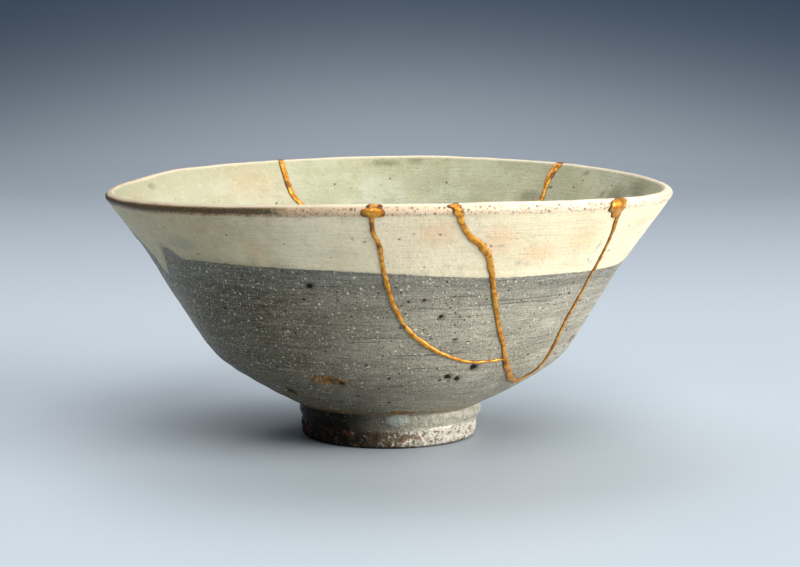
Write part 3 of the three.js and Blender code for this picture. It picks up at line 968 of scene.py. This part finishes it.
# %% Node helpers
def linear(red, green, blue):
    """A display colour from 0 to 255 as the linear red, green, blue and alpha of a shader."""
    share = np.array([red, green, blue]) / 255
    values = np.where(share <= 0.04045, share / 12.92, ((share + 0.055) / 1.055) ** 2.4)
    return (*values.tolist(), 1.0)


class Tree:
    """A node tree that can be written from the inside out: each call adds a node and gives back its
    output socket. An input is a socket to join or a plain value."""

    def __init__(self, nodes, links):
        self.nodes, self.links = nodes, links

    def add(self, kind, inputs, output=0, **settings):
        made = self.nodes.new(kind)
        for name, value in settings.items():
            setattr(made, name, value)
        for key, value in inputs.items():
            if isinstance(value, bpy.types.NodeSocket):
                self.links.new(value, made.inputs[key])
            else:
                made.inputs[key].default_value = value
        return made.outputs[output]

    def math(self, operation, a, b=0.0, c=0.0):
        return self.add("ShaderNodeMath", {0: a, 1: b, 2: c}, operation=operation)

    def mark(self, name, output="Fac"):
        return self.add("ShaderNodeAttribute", {}, output, attribute_name=name)

    def ramp(self, value, low, high, to_low=0.0, to_high=1.0):
        ends = {"Value": value, "From Min": low, "From Max": high, "To Min": to_low, "To Max": to_high}
        return self.add("ShaderNodeMapRange", ends, interpolation_type="SMOOTHSTEP")

    def noise(self, vector, scale, detail=3.0, roughness=0.55, output="Fac"):
        inputs = {"Vector": vector, "Scale": scale, "Detail": detail, "Roughness": roughness}
        return self.add("ShaderNodeTexNoise", inputs, output)

    def mix(self, share, first, second):
        return self.add("ShaderNodeMix", {0: share, 6: first, 7: second}, 2, data_type="RGBA")

    def times(self, a, b):
        return self.math("MULTIPLY", a, b)

    def times_plus(self, a, b, c):
        return self.math("MULTIPLY_ADD", a, b, c)

    def layered(self, colour, layers):
        """A colour under layers of paint, first to last. Each is a mask, a strength and a paint, which
        is three display values or a colour socket."""
        for mask, strength, paint in layers:
            over = linear(*paint) if isinstance(paint, tuple) else paint
            colour = self.mix(self.times(mask, strength), colour, over)
        return colour

    def scaled(self, vector, amounts):
        inputs = {"Vector": vector, "Scale": amounts}
        return self.add("ShaderNodeMapping", inputs)


def new_group(name, inputs, outputs):
    """A shader node group with named inputs, as (kind, default), and named outputs."""
    group = bpy.data.node_groups.new(name, "ShaderNodeTree")
    for label, (kind, default) in inputs.items():
        socket = group.interface.new_socket(label, in_out="INPUT", socket_type=kind)
        if default is not None:
            socket.default_value = default
    for label, kind in outputs.items():
        group.interface.new_socket(label, in_out="OUTPUT", socket_type=kind)
    tree = Tree(group.nodes, group.links)
    start = group.nodes.new("NodeGroupInput").outputs
    end = group.nodes.new("NodeGroupOutput").inputs
    return group, tree, start, end


def use_group(tree, group, inputs):
    """Places a group in a tree, as any other node."""
    made = tree.nodes.new("ShaderNodeGroup")
    made.node_tree = group
    for key, value in inputs.items():
        if isinstance(value, bpy.types.NodeSocket):
            tree.links.new(value, made.inputs[key])
        else:
            made.inputs[key].default_value = value
    return made.outputs[0]


# %% [markdown]
# ## Shared effects
#
# Stoneware and lacquer are both grainy, so grains are one group: it scatters cells over the surface,
# keeps a share of them, and draws a soft-edged dot of uneven size in each. A second group breaks up an
# edge or a patch: it adds noise to a distance and cuts it, which turns a smooth outline into a ragged one.

# %% Groups for grains and ragged edges
def grains_group():
    """Dots: 1 inside a dot and 0 outside. A cell has a dot if its random number is under Share."""
    inputs = {"Vector": ("NodeSocketVector", None), "Per mm": ("NodeSocketFloat", 1.0),
              "Share": ("NodeSocketFloat", 0.3), "Size": ("NodeSocketFloat", 0.3)}
    group, tree, start, end = new_group("grains", inputs, {"Dots": "NodeSocketFloat"})
    bent = tree.scaled(tree.noise(start["Vector"], 2.2, 2.0, output="Color"), (0.45, 0.45, 0.45))
    warped = tree.add("ShaderNodeVectorMath", {0: start["Vector"], 1: bent})
    cells = tree.nodes.new("ShaderNodeTexVoronoi")
    tree.links.new(warped, cells.inputs["Vector"])
    tree.links.new(start["Per mm"], cells.inputs["Scale"])
    parts = tree.add("ShaderNodeSeparateColor", {0: cells.outputs["Color"]})
    chosen = tree.math("LESS_THAN", parts, start["Share"])
    reach = tree.times(start["Size"], tree.ramp(parts.node.outputs[1], 0, 1, 0.45, 1.25))
    inner = tree.times(reach, 0.6)
    dot = tree.add("ShaderNodeMapRange", {"Value": cells.outputs["Distance"], "From Min": reach,
                                          "From Max": inner, "To Min": 0.0, "To Max": 1.0})
    tree.links.new(tree.times(dot, chosen), end["Dots"])
    return group


def ragged_group():
    """A ragged cut: 1 where Distance plus noise of a given reach is above 0, with a soft edge."""
    inputs = {"Vector": ("NodeSocketVector", None), "Distance": ("NodeSocketFloat", 0.0),
              "Per mm": ("NodeSocketFloat", 0.6), "Reach": ("NodeSocketFloat", 0.5),
              "Soft": ("NodeSocketFloat", 0.2)}
    group, tree, start, end = new_group("ragged_edge", inputs, {"Mask": "NodeSocketFloat"})
    noise = tree.noise(start["Vector"], start["Per mm"], 4.0, 0.65)
    shifted = tree.times_plus(tree.math("SUBTRACT", noise, 0.5), start["Reach"], start["Distance"])
    low = tree.times(start["Soft"], -1.0)
    cut = tree.add("ShaderNodeMapRange", {"Value": shifted, "From Min": low, "From Max": start["Soft"]},
                   interpolation_type="SMOOTHSTEP")
    tree.links.new(cut, end["Mask"])
    return group


GRAINS, RAGGED = grains_group(), ragged_group()


def new_material(name):
    """An empty material with its shader and a tree to build on."""
    material = bpy.data.materials.new(name)
    material.use_nodes = True
    nodes = material.node_tree.nodes
    shader = next(n for n in nodes if n.type == "BSDF_PRINCIPLED")
    return material, shader, Tree(nodes, material.node_tree.links)

# %% [markdown]
# ## The stoneware
#
# From below: a foot, pale with ash and white sand, with painted shade that turns its left side a dark
# brown-black and a painted contact shadow along its base; a grey ash glaze full of grit, wiped round on
# the wheel, with white and tan specks and black pits, darkened to the left and low down by painted shade
# and lightened at the far left by a painted sheen; then the pale slip, cream with peach blushes and
# pinholes, greyed to the left by painted shade; then the lip, where the glaze ran thin and the iron in
# the clay shows dark at the left and as speckles elsewhere, with a painted highlight along its top and
# painted shade to its left. Inside, the same slip lies under a greener pool of glaze, with painted shade
# just below the lip. Each part is a base colour with layers over it, first to last, and a layer is a
# mask, a strength and a paint. The list of layers reads as the surface was made.

# %% Glaze, slip, lip and foot
def stoneware():
    """The one material of all four sherds, layered by the marks that the points carry."""
    material, shader, t = new_material("stoneware")
    mm = t.scaled(t.add("ShaderNodeTexCoord", {}, "Object"), (1000, 1000, 1000))
    axes = t.add("ShaderNodeSeparateXYZ", {0: mm}).node.outputs
    sideways, height = axes[0], axes[2]
    around = t.mark("wheel", "Vector")
    bands = t.noise(t.scaled(around, (2.2, 2.2, 0.42)), 1.0, 3.0, 0.6)
    streaks = t.noise(t.scaled(around, (5, 5, 1.5)), 1.0, 5.0, 0.68)
    fine_streaks = t.noise(t.scaled(around, (10, 10, 4.2)), 1.0, 4.0, 0.7)
    scratches = t.noise(t.scaled(around, (2.6, 2.6, 2.6)), 1.0, 2.0, 0.5)
    cloud = t.noise(mm, 0.055, 4.0, 0.6)
    mottle = t.noise(mm, 0.22, 4.0, 0.65)
    blotch = t.noise(mm, 0.75, 4.0, 0.7)
    grit = t.noise(mm, 2.3, 3.0, 0.75)

    def dots(per_mm, share, size, vector=mm):
        return use_group(t, GRAINS, {"Vector": vector, "Per mm": per_mm, "Share": share, "Size": size})

    def ragged(distance, per_mm, reach, soft):
        return use_group(t, RAGGED, {
            "Vector": mm, "Distance": distance, "Per mm": per_mm, "Reach": reach, "Soft": soft})

    # Black of the pits, also used for a painted contact shadow at the base of the foot.
    pit_and_shadow_black = (13, 10, 7)
    sand = dots(2.3, 0.55, 0.36)
    white = t.math("MAXIMUM", dots(0.6, 0.32, 0.25, t.scaled(mm, (1, 1, 1.2))), dots(1.25, 0.38, 0.31))
    tan = dots(0.9, 0.26, 0.24)
    pits = t.math("MAXIMUM", dots(0.46, 0.24, 0.22, t.scaled(mm, (0.85, 0.85, 1.2))), dots(0.9, 0.26, 0.24))
    fine_pits = dots(1.9, 0.42, 0.30)
    dark_dots = t.math("MAXIMUM", pits, t.times(fine_pits, 0.75))

    # The grey glaze of the lower body, darker and browner to the left and low down by painted shade, and
    # lightened at the far left by a painted sheen.
    # Painted shade: this mask is 0 at the left and 1 at the right, and the base colour is dark at the left
    # end; the shaded low mask paints more shade where the lower wall faces down and away from the light.
    side = t.ramp(t.times_plus(mottle, 24, sideways), -27, 31)
    low = t.ramp(t.times_plus(mottle, 16, height), 40, 20)
    shaded_low = t.times(low, t.math("SUBTRACT", 1.0, side))
    # Painted sheen: the far left is lightened, as glaze shows a pale reflection along that silhouette.
    painted_sheen_left = t.ramp(t.times_plus(mottle, 20, sideways), -33, -46)
    olive = t.times(low, t.ramp(cloud, 0.44, 0.60))
    slip_mm = t.mark("slip_mm")
    under_slip = t.ramp(t.times_plus(mottle, 7, slip_mm), -9, 3.5)
    rust_colour = t.mix(t.ramp(blotch, 0.42, 0.60), linear(72, 46, 5), linear(190, 130, 16))
    pit = t.mark("pit")
    pit_ring = ragged(t.math("ADD", pit, 0.3), 0.7, 0.8, 0.4)
    pit_core = ragged(t.math("SUBTRACT", pit, 0.22), 1.3, 1.0, 0.1)
    crack = t.ramp(t.math("ABSOLUTE", t.mark("crack_mm")), 0.34, 0.12)
    glaze = t.layered(t.mix(side, linear(67, 59, 35), linear(196, 190, 172)), [
        (t.ramp(cloud, 0.40, 0.62), 0.40, (120, 116, 98)),
        (shaded_low, 0.92, (44, 34, 5)),
        (painted_sheen_left, 0.5, (146, 144, 128)),
        (olive, 0.18, (134, 120, 76)),
        (under_slip, 0.55, (112, 115, 112)),
        (t.ramp(bands, 0.40, 0.60), 0.30, (78, 73, 56)),
        (t.ramp(streaks, 0.46, 0.62), 0.36, (176, 170, 150)),
        (t.ramp(fine_streaks, 0.50, 0.66), 0.40, (66, 61, 48)),
        (t.ramp(grit, 0.51, 0.66), 0.50, (202, 194, 168)),
        (t.ramp(grit, 0.47, 0.33), 0.54, (44, 39, 24)),
        (t.ramp(scratches, 0.64, 0.69), 0.68, (48, 42, 30)),
        (sand, 0.34, (210, 202, 176)),
        (tan, 0.5, (182, 146, 98)),
        (ragged(t.mark("rust"), 0.7, 0.9, 0.25), 0.85, rust_colour),
        (pit_ring, 0.4, (96, 74, 36)),
        (crack, 0.75, (172, 124, 70)),
        (white, 0.82, (230, 222, 198)),
        (dark_dots, 0.92, pit_and_shadow_black),
        (pit_core, 0.97, pit_and_shadow_black),
    ])

    # The pale slip over it, greyed to the left by painted shade, and thin at its lower edge there, where
    # the same painted shade darkens it more.
    blush = t.ramp(t.times_plus(blotch, 1.7, t.mark("blush")), 0.35, 1.75)
    # Painted shade: the slip is greyed towards the left, away from the light at the right.
    painted_shade_left = t.ramp(t.times_plus(mottle, 44, sideways), 8, -26)
    thin_slip_and_shade = t.times(t.ramp(slip_mm, 3.2, 0.0), painted_shade_left)
    iron_specks = dots(0.22, 0.3, 0.13, t.scaled(mm, (0.8, 0.8, 1.3)))
    pinholes = t.math("MAXIMUM", dots(0.36, 0.22, 0.16), iron_specks)
    pinholes = t.math("MAXIMUM", dots(1.5, 0.20, 0.22), pinholes)
    slip = t.layered(t.mix(t.ramp(cloud, 0.38, 0.62), linear(224, 211, 177), linear(232, 219, 188)), [
        (blush, 0.50, (224, 178, 132)),
        (painted_shade_left, 0.70, (160, 147, 105)),
        (t.ramp(mottle, 0.50, 0.66), 0.42, (196, 186, 152)),
        (t.ramp(streaks, 0.48, 0.64), 0.26, (188, 172, 134)),
        (t.ramp(fine_streaks, 0.50, 0.68), 0.26, (242, 232, 206)),
        (t.ramp(grit, 0.44, 0.30), 0.34, (150, 134, 100)),
        (t.ramp(blotch, 0.56, 0.68), 0.26, (240, 230, 206)),
        (ragged(t.mark("smear"), 0.5, 1.3, 0.6), 0.44, (134, 136, 126)),
        (pinholes, 0.62, (98, 80, 54)),
        (thin_slip_and_shade, 0.5, (138, 134, 106)),
    ])
    slip_mask = ragged(slip_mm, 0.55, 1.1, 0.3)
    veil = t.ramp(t.times_plus(blotch, 0.5, t.mark("veil")), 0.1, 0.9)
    outer = t.layered(t.mix(slip_mask, glaze, slip), [(veil, 0.6, (132, 130, 108))])

    # Inside, the slip under a greener glaze, with painted shade just below the lip.
    lip_mm = t.mark("lip_mm")
    pale_cloud = t.ramp(t.noise(mm, 0.035, 3.0, 0.6), 0.48, 0.62)
    grey_left = t.ramp(t.times_plus(mottle, 50, sideways), 20, -45)
    warm = t.ramp(t.times_plus(blotch, 1.3, t.mark("yellow")), 0.2, 1.6)
    # Painted shade: the inside is darkened for some millimetres below the lip.
    shade_below_lip = t.ramp(t.times_plus(mottle, 5, lip_mm), 15, 6)
    inner = t.layered(t.mix(t.ramp(cloud, 0.36, 0.64), linear(170, 170, 142), linear(186, 184, 156)), [
        (pale_cloud, 0.5, (196, 200, 184)),
        (t.ramp(mottle, 0.44, 0.62), 0.6, (156, 158, 128)),
        (grey_left, 0.65, (164, 160, 138)),
        (warm, 0.42, (172, 140, 94)),
        (t.ramp(height, 40, 16), 0.5, (146, 144, 112)),
        (t.ramp(streaks, 0.50, 0.66), 0.20, (152, 148, 112)),
        (t.ramp(grit, 0.44, 0.30), 0.30, (130, 124, 92)),
        (t.ramp(blotch, 0.55, 0.68), 0.30, (214, 210, 186)),
        (shade_below_lip, 0.28, (140, 138, 104)),
        (ragged(t.mark("dark"), 0.4, 1.7, 0.8), 0.55, (92, 86, 56)),
        (pinholes, 0.70, (80, 70, 46)),
    ])
    inside = t.mark("inner")
    outside = t.math("SUBTRACT", 1.0, inside)

    # The lip, where the glaze ran thin over the clay, with painted shade towards its left and a painted
    # highlight along its top.
    band_end = t.ramp(t.times_plus(grit, 0.8, lip_mm), 5.0, 4.0)
    band = t.times(ragged(t.math("ADD", lip_mm, 0.55), 0.9, 0.9, 0.45), band_end)
    # Painted shade: the lip's colour darkens towards the left, away from the light.
    lip_lit_side = t.ramp(t.times_plus(mottle, 24, sideways), -45, 50)
    specks = t.math("MAXIMUM", dots(2.1, 0.60, 0.48), dots(0.9, 0.50, 0.42))
    on_face = t.times(t.ramp(lip_mm, 2.1, 1.3), t.ramp(mottle, 0.32, 0.46))
    iron_edge = t.times_plus(t.noise(mm, 1.0, 4.0, 0.75), 1.1, t.mark("iron"))
    iron = t.times(t.ramp(iron_edge, 0.80, 1.25), t.ramp(lip_mm, 2.0, 1.2))
    iron = t.times(iron, t.ramp(t.times_plus(blotch, 1.4, lip_mm), 0.5, 1.2))
    iron_grain = t.ramp(t.noise(mm, 1.8, 3.0, 0.7), 0.42, 0.60)
    iron_colour = t.mix(iron_grain, linear(20, 12, 3), linear(84, 60, 22))
    lip = t.layered(t.mix(lip_lit_side, linear(154, 124, 88), linear(228, 208, 180)), [
        (t.ramp(mottle, 0.42, 0.60), 0.35, (206, 168, 132)),
        (t.times(specks, on_face), 0.88, (90, 56, 38)),
        # Painted highlight: a pale line along the top of the lip.
        (t.ramp(lip_mm, 1.4, 2.2), 0.5, (232, 224, 200)),
        (iron, 1.0, iron_colour),
    ])

    # The foot: ash glaze above, bare clay and a crust of sand below, with painted shade that makes it
    # nearly black to the left and a painted contact shadow at its base.
    # Painted shade: this share is 0 on the shaded left and 1 on the lit right, and the ash and the bare clay
    # are painted nearly black at the left end.
    lit_side_share = t.ramp(t.times_plus(mottle, 9, sideways), -8, 21)
    low_band = ragged(t.math("SUBTRACT", 4.6, height), 0.6, 1.6, 0.5)
    orange = t.ramp(t.noise(mm, 0.34, 4.0, 0.65), 0.50, 0.62)
    crust = t.ramp(t.times_plus(lit_side_share, 0.20, t.noise(mm, 0.8, 5.0, 0.8)), 0.62, 0.70)
    ash = t.layered(t.mix(lit_side_share, linear(10, 7, 3), linear(188, 183, 164)), [
        (t.ramp(blotch, 0.42, 0.60), t.times_plus(lit_side_share, 0.35, 0.08), (92, 78, 48)),
        (t.ramp(grit, 0.50, 0.66), t.times(lit_side_share, 0.55), (226, 220, 200)),
    ])
    bare = t.layered(t.mix(lit_side_share, linear(16, 10, 4), linear(138, 126, 100)), [
        (orange, t.times_plus(lit_side_share, 0.45, 0.25), (160, 88, 38)),
        (crust, 0.85, (226, 222, 210)),
        (fine_pits, 0.8, pit_and_shadow_black),
    ])
    foot = t.layered(t.mix(low_band, ash, bare), [
        (white, t.times_plus(lit_side_share, 0.6, 0.1), (222, 216, 198)),
        # Painted contact shadow: the lowest millimetre of the foot is darkened where it meets the floor.
        (t.ramp(height, 1.0, 0.3), 0.8, pit_and_shadow_black),
    ])
    foot_mask = t.times(ragged(t.math("SUBTRACT", 9.3, height), 0.5, 1.4, 0.5), outside)
    from_ledge = t.math("ABSOLUTE", t.math("SUBTRACT", height, 9.9))
    ledge_line = t.times(t.ramp(from_ledge, 1.2, 0.2), t.ramp(blotch, 0.40, 0.56))
    drop = t.times(ragged(t.mark("drop"), 0.8, 0.5, 0.3), outside)

    # All of them together.
    colour = t.layered(t.mix(inside, outer, inner), [
        (band, 0.90, lip),
        (foot_mask, 1.0, foot),
        (t.times(ledge_line, outside), 0.75, (112, 72, 20)),
        (drop, 0.6, (176, 186, 174)),
    ])
    t.links.new(colour, shader.inputs["Base Color"])

    # Gloss: satin glaze, drier slip, dry crust.
    rough = t.ramp(streaks, 0.3, 0.7, 0.27, 0.44)
    rough = t.times_plus(slip_mask, 0.04, rough)
    rough = t.math("MAXIMUM", rough, t.times(t.times(foot_mask, low_band), 0.55))
    rough = t.math("MAXIMUM", rough, t.times(dark_dots, 0.6))
    t.links.new(rough, shader.inputs["Roughness"])

    # Fine relief in millimetres: wipe marks, grit, grains that stand up, pits and crust.
    on_glaze = t.times(t.math("SUBTRACT", 1.0, slip_mask), outside)
    textures = [
        # texture, millimetres more on bare glaze, millimetres everywhere
        (fine_streaks, 0.26, 0.07), (streaks, 0.30, 0.16), (grit, 0.26, 0.08), (blotch, 0.25, 0.22),
    ]
    relief_mm = 0.0
    for texture, more_on_glaze, everywhere in textures:
        relief_mm = t.times_plus(texture, t.times_plus(on_glaze, more_on_glaze, everywhere), relief_mm)
    lumps = t.times(t.math("MAXIMUM", white, t.times(sand, 0.45)), on_glaze)
    relief_mm = t.times_plus(lumps, 0.12, relief_mm)
    holes = t.math("MAXIMUM", t.times(dark_dots, on_glaze), t.times(pinholes, 0.6))
    relief_mm = t.times_plus(holes, -0.20, relief_mm)
    relief_mm = t.times_plus(t.times(foot_mask, blotch), 0.5, relief_mm)
    relief_mm = t.times_plus(slip_mask, 0.12, relief_mm)
    bump = t.add("ShaderNodeBump", {"Height": relief_mm, "Distance": 0.001, "Strength": 1.0}, "Normal")
    t.links.new(bump, shader.inputs["Normal"])
    ash_foot = t.times(foot_mask, t.math("SUBTRACT", 1.0, low_band))
    shiny_foot = t.times(ash_foot, lit_side_share)
    t.links.new(t.times_plus(shiny_foot, 0.85, 0.08), shader.inputs["Coat Weight"])
    shader.inputs["Specular IOR Level"].default_value = 0.16
    shader.inputs["Coat Roughness"].default_value = 0.2
    return material

# %% [markdown]
# ## The gold
#
# Gold powder on lacquer is satin, deep orange and a little cloudy. At the low edges of a bead the powder
# is thin, and the brown-red lacquer shows; that dark edge also serves as painted shade where the bead
# meets the skin. The lacquer shows too in a few worn places and in scattered specks.

# %% Gold powder on lacquer
def gold():
    """Metal with a powdery grain, turning into bare lacquer where the bead is low or worn; the dark low edge
    doubles as painted shade at the bead's foot.
    """
    material, shader, t = new_material("gold_lacquer")
    mm = t.scaled(t.add("ShaderNodeTexCoord", {}, "Object"), (1000, 1000, 1000))
    cloud = t.noise(mm, 0.6, 4.0, 0.6)
    powder = t.noise(mm, 6.0, 2.0, 0.7)
    # The dark low edge is thin powder over lacquer and also painted shade where the bead meets the skin.
    thin = use_group(t, RAGGED, {
        "Vector": mm, "Distance": t.math("SUBTRACT", 0.23, t.mark("proud_mm")), "Per mm": 1.3,
        "Reach": 0.36, "Soft": 0.12})
    patch = use_group(t, RAGGED, {
        "Vector": mm, "Distance": t.mark("lacquer_mm"), "Per mm": 0.9, "Reach": 1.6, "Soft": 0.5})
    worn = use_group(t, GRAINS, {"Vector": mm, "Per mm": 1.4, "Share": 0.14, "Size": 0.3})
    bare = t.math("MAXIMUM", thin, t.times(worn, 0.6))
    bare = t.math("MAXIMUM", bare, t.times(patch, 0.85))
    metal = t.mix(t.ramp(cloud, 0.38, 0.62), linear(192, 120, 34), linear(232, 172, 78))
    colour = t.layered(metal, [
        (t.ramp(powder, 0.48, 0.68), 0.35, (160, 88, 20)),
        (bare, 0.9, (74, 34, 8)),
    ])
    t.links.new(colour, shader.inputs["Base Color"])
    t.links.new(t.ramp(bare, 0, 1, 0.7, 0.1), shader.inputs["Metallic"])
    t.links.new(t.ramp(powder, 0.2, 0.8, 0.28, 0.44), shader.inputs["Roughness"])
    shader.inputs["Specular IOR Level"].default_value = 0.25
    height_mm = t.times_plus(powder, 0.05, t.times(cloud, 0.16))
    bump = t.add("ShaderNodeBump", {"Height": height_mm, "Distance": 0.001, "Strength": 0.9}, "Normal")
    t.links.new(bump, shader.inputs["Normal"])
    return material


clay_material, gold_material = stoneware(), gold()
for piece in clay_pieces:
    piece.data.materials.append(clay_material)
for piece in gold_pieces:
    piece.data.materials.append(gold_material)
print("materials:", clay_material.name, gold_material.name)

# %% [markdown]
# ## Floor, light and camera
#
# The bowl stands on a pale sheet that sweeps up behind it; painted shade darkens it towards the top and
# more towards its upper sides. The strongest soft light stands low at the right. A weaker one comes from
# the right in front, one from high in front, and two weak ones from above and behind keep the shadow
# soft. The camera has a long lens, so the mouth is hardly bent by perspective, and it looks slightly
# down, which shows a little of the inside.

# %% The sweep of paper
low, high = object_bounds()
WIDTH = high.x - low.x


def sweep():
    """A floor that curves up into a wall: a profile of depth and height, carried sideways. The number
    far is the length of the way back along it, in widths of the bowl."""
    bend = np.radians(np.linspace(0, 90, 60))
    depth = np.concatenate([np.linspace(-9, 4.4, 20), 4.5 + 3.5 * np.sin(bend), [8.0]])
    height = np.concatenate([np.zeros(20), 3.5 * (1 - np.cos(bend)), [12]])
    far = lengths_along(np.column_stack([depth, height])) + depth[0]
    x, y = np.meshgrid(np.array([-14, 14]), depth)
    z = np.repeat(height[:, None], 2, axis=1)
    points = np.stack([x, y, z], -1).reshape(-1, 3) * WIDTH / MM
    index = np.arange(len(points)).reshape(-1, 2)
    faces = np.stack([index[:-1, 0], index[:-1, 1], index[1:, 1], index[1:, 0]], -1)
    return mesh_from("sweep", points, faces.tolist(), {"far": np.repeat(far, 2)})


def paper():
    """Pale grey paper with painted shade. It darkens with the way back, and more towards its sides up there.
    """
    material, shader, t = new_material("paper")
    place = t.add("ShaderNodeTexCoord", {}, "Object")
    sideways = t.math("DIVIDE", t.add("ShaderNodeSeparateXYZ", {0: place}, 0), WIDTH)
    far = t.mark("far")
    # Painted shade: the paper darkens with the way back and towards its upper sides, and turns bluer as it
    # darkens.
    falling = {"Value": far, "From Min": 1.5, "From Max": 5.5, "To Min": 1.0, "To Max": 0.56}
    shade = t.times(t.add("ShaderNodeMapRange", falling), t.ramp(far, 5.2, 7.0, 1.0, 0.05))
    spread = t.math("POWER", t.math("DIVIDE", sideways, 1.55), 2.0)
    spread = t.times(spread, t.ramp(far, 4.2, 7.2))
    shade = t.math("DIVIDE", shade, t.math("ADD", spread, 1.0))
    t.links.new(t.mix(shade, linear(22, 42, 62), linear(174, 184, 193)), shader.inputs["Base Color"])
    shader.inputs["Roughness"].default_value = 0.5
    return material


backdrop = sweep()
backdrop.data.materials.append(paper())

# %% Lights and camera
AIM_HEIGHT = 0.25


def soft_light(name, turn, rise, away, size, power, colour):
    """A square soft light. It is turned from the front towards +X and raised, both in degrees, put some
    widths of the bowl away, and faces the bowl."""
    light = bpy.data.lights.new(name, "AREA")
    light.shape, light.size, light.energy, light.color = "SQUARE", size * WIDTH, power, colour
    lamp = bpy.data.objects.new(name, light)
    bpy.context.scene.collection.objects.link(lamp)
    turn, rise = math.radians(turn), math.radians(rise)
    level, up = away * math.cos(rise), away * math.sin(rise)
    lamp.location = np.array([level * math.sin(turn), -level * math.cos(turn), up + AIM_HEIGHT]) * WIDTH
    lamp.rotation_euler = (math.pi / 2 - rise, 0, turn)


soft_light("side_key", 75, 15, 12, 6.2, 39.2, (1.0, 0.98, 0.95))
soft_light("low_key", 50, 15, 12, 6.2, 15.7, (1.0, 0.98, 0.95))
soft_light("high_fill", 10, 50, 12, 7.0, 19.2, (1.0, 0.99, 0.97))
soft_light("back_left_top", 208, 58, 7, 6.0, 6.4, (0.98, 0.99, 1.0))
soft_light("back_right_top", 140, 65, 7, 6.0, 4.1, (0.98, 0.99, 1.0))

world = bpy.data.worlds.new("studio")
world.use_nodes = True
background = world.node_tree.nodes["Background"].inputs
background["Color"].default_value = (0.70, 0.72, 0.74, 1)
background["Strength"].default_value = 0.21
bpy.context.scene.world = world

# The camera's place in widths of the bowl, and how far it looks down in degrees.
CAMERA_PLACE = (0.02, -4.13, 0.823)
CAMERA_DIP = 7.626
lens = bpy.data.cameras.new("camera")
lens.sensor_width = 36
lens.lens = 105
camera = bpy.data.objects.new("camera", lens)
bpy.context.scene.collection.objects.link(camera)
camera.location = np.array(CAMERA_PLACE) * WIDTH
camera.rotation_euler = (math.radians(90 - CAMERA_DIP), 0, 0)
bpy.context.scene.camera = camera
bpy.context.scene.view_settings.view_transform = "Standard"
print("camera at", [round(v, 4) for v in camera.location], "lens", lens.lens)
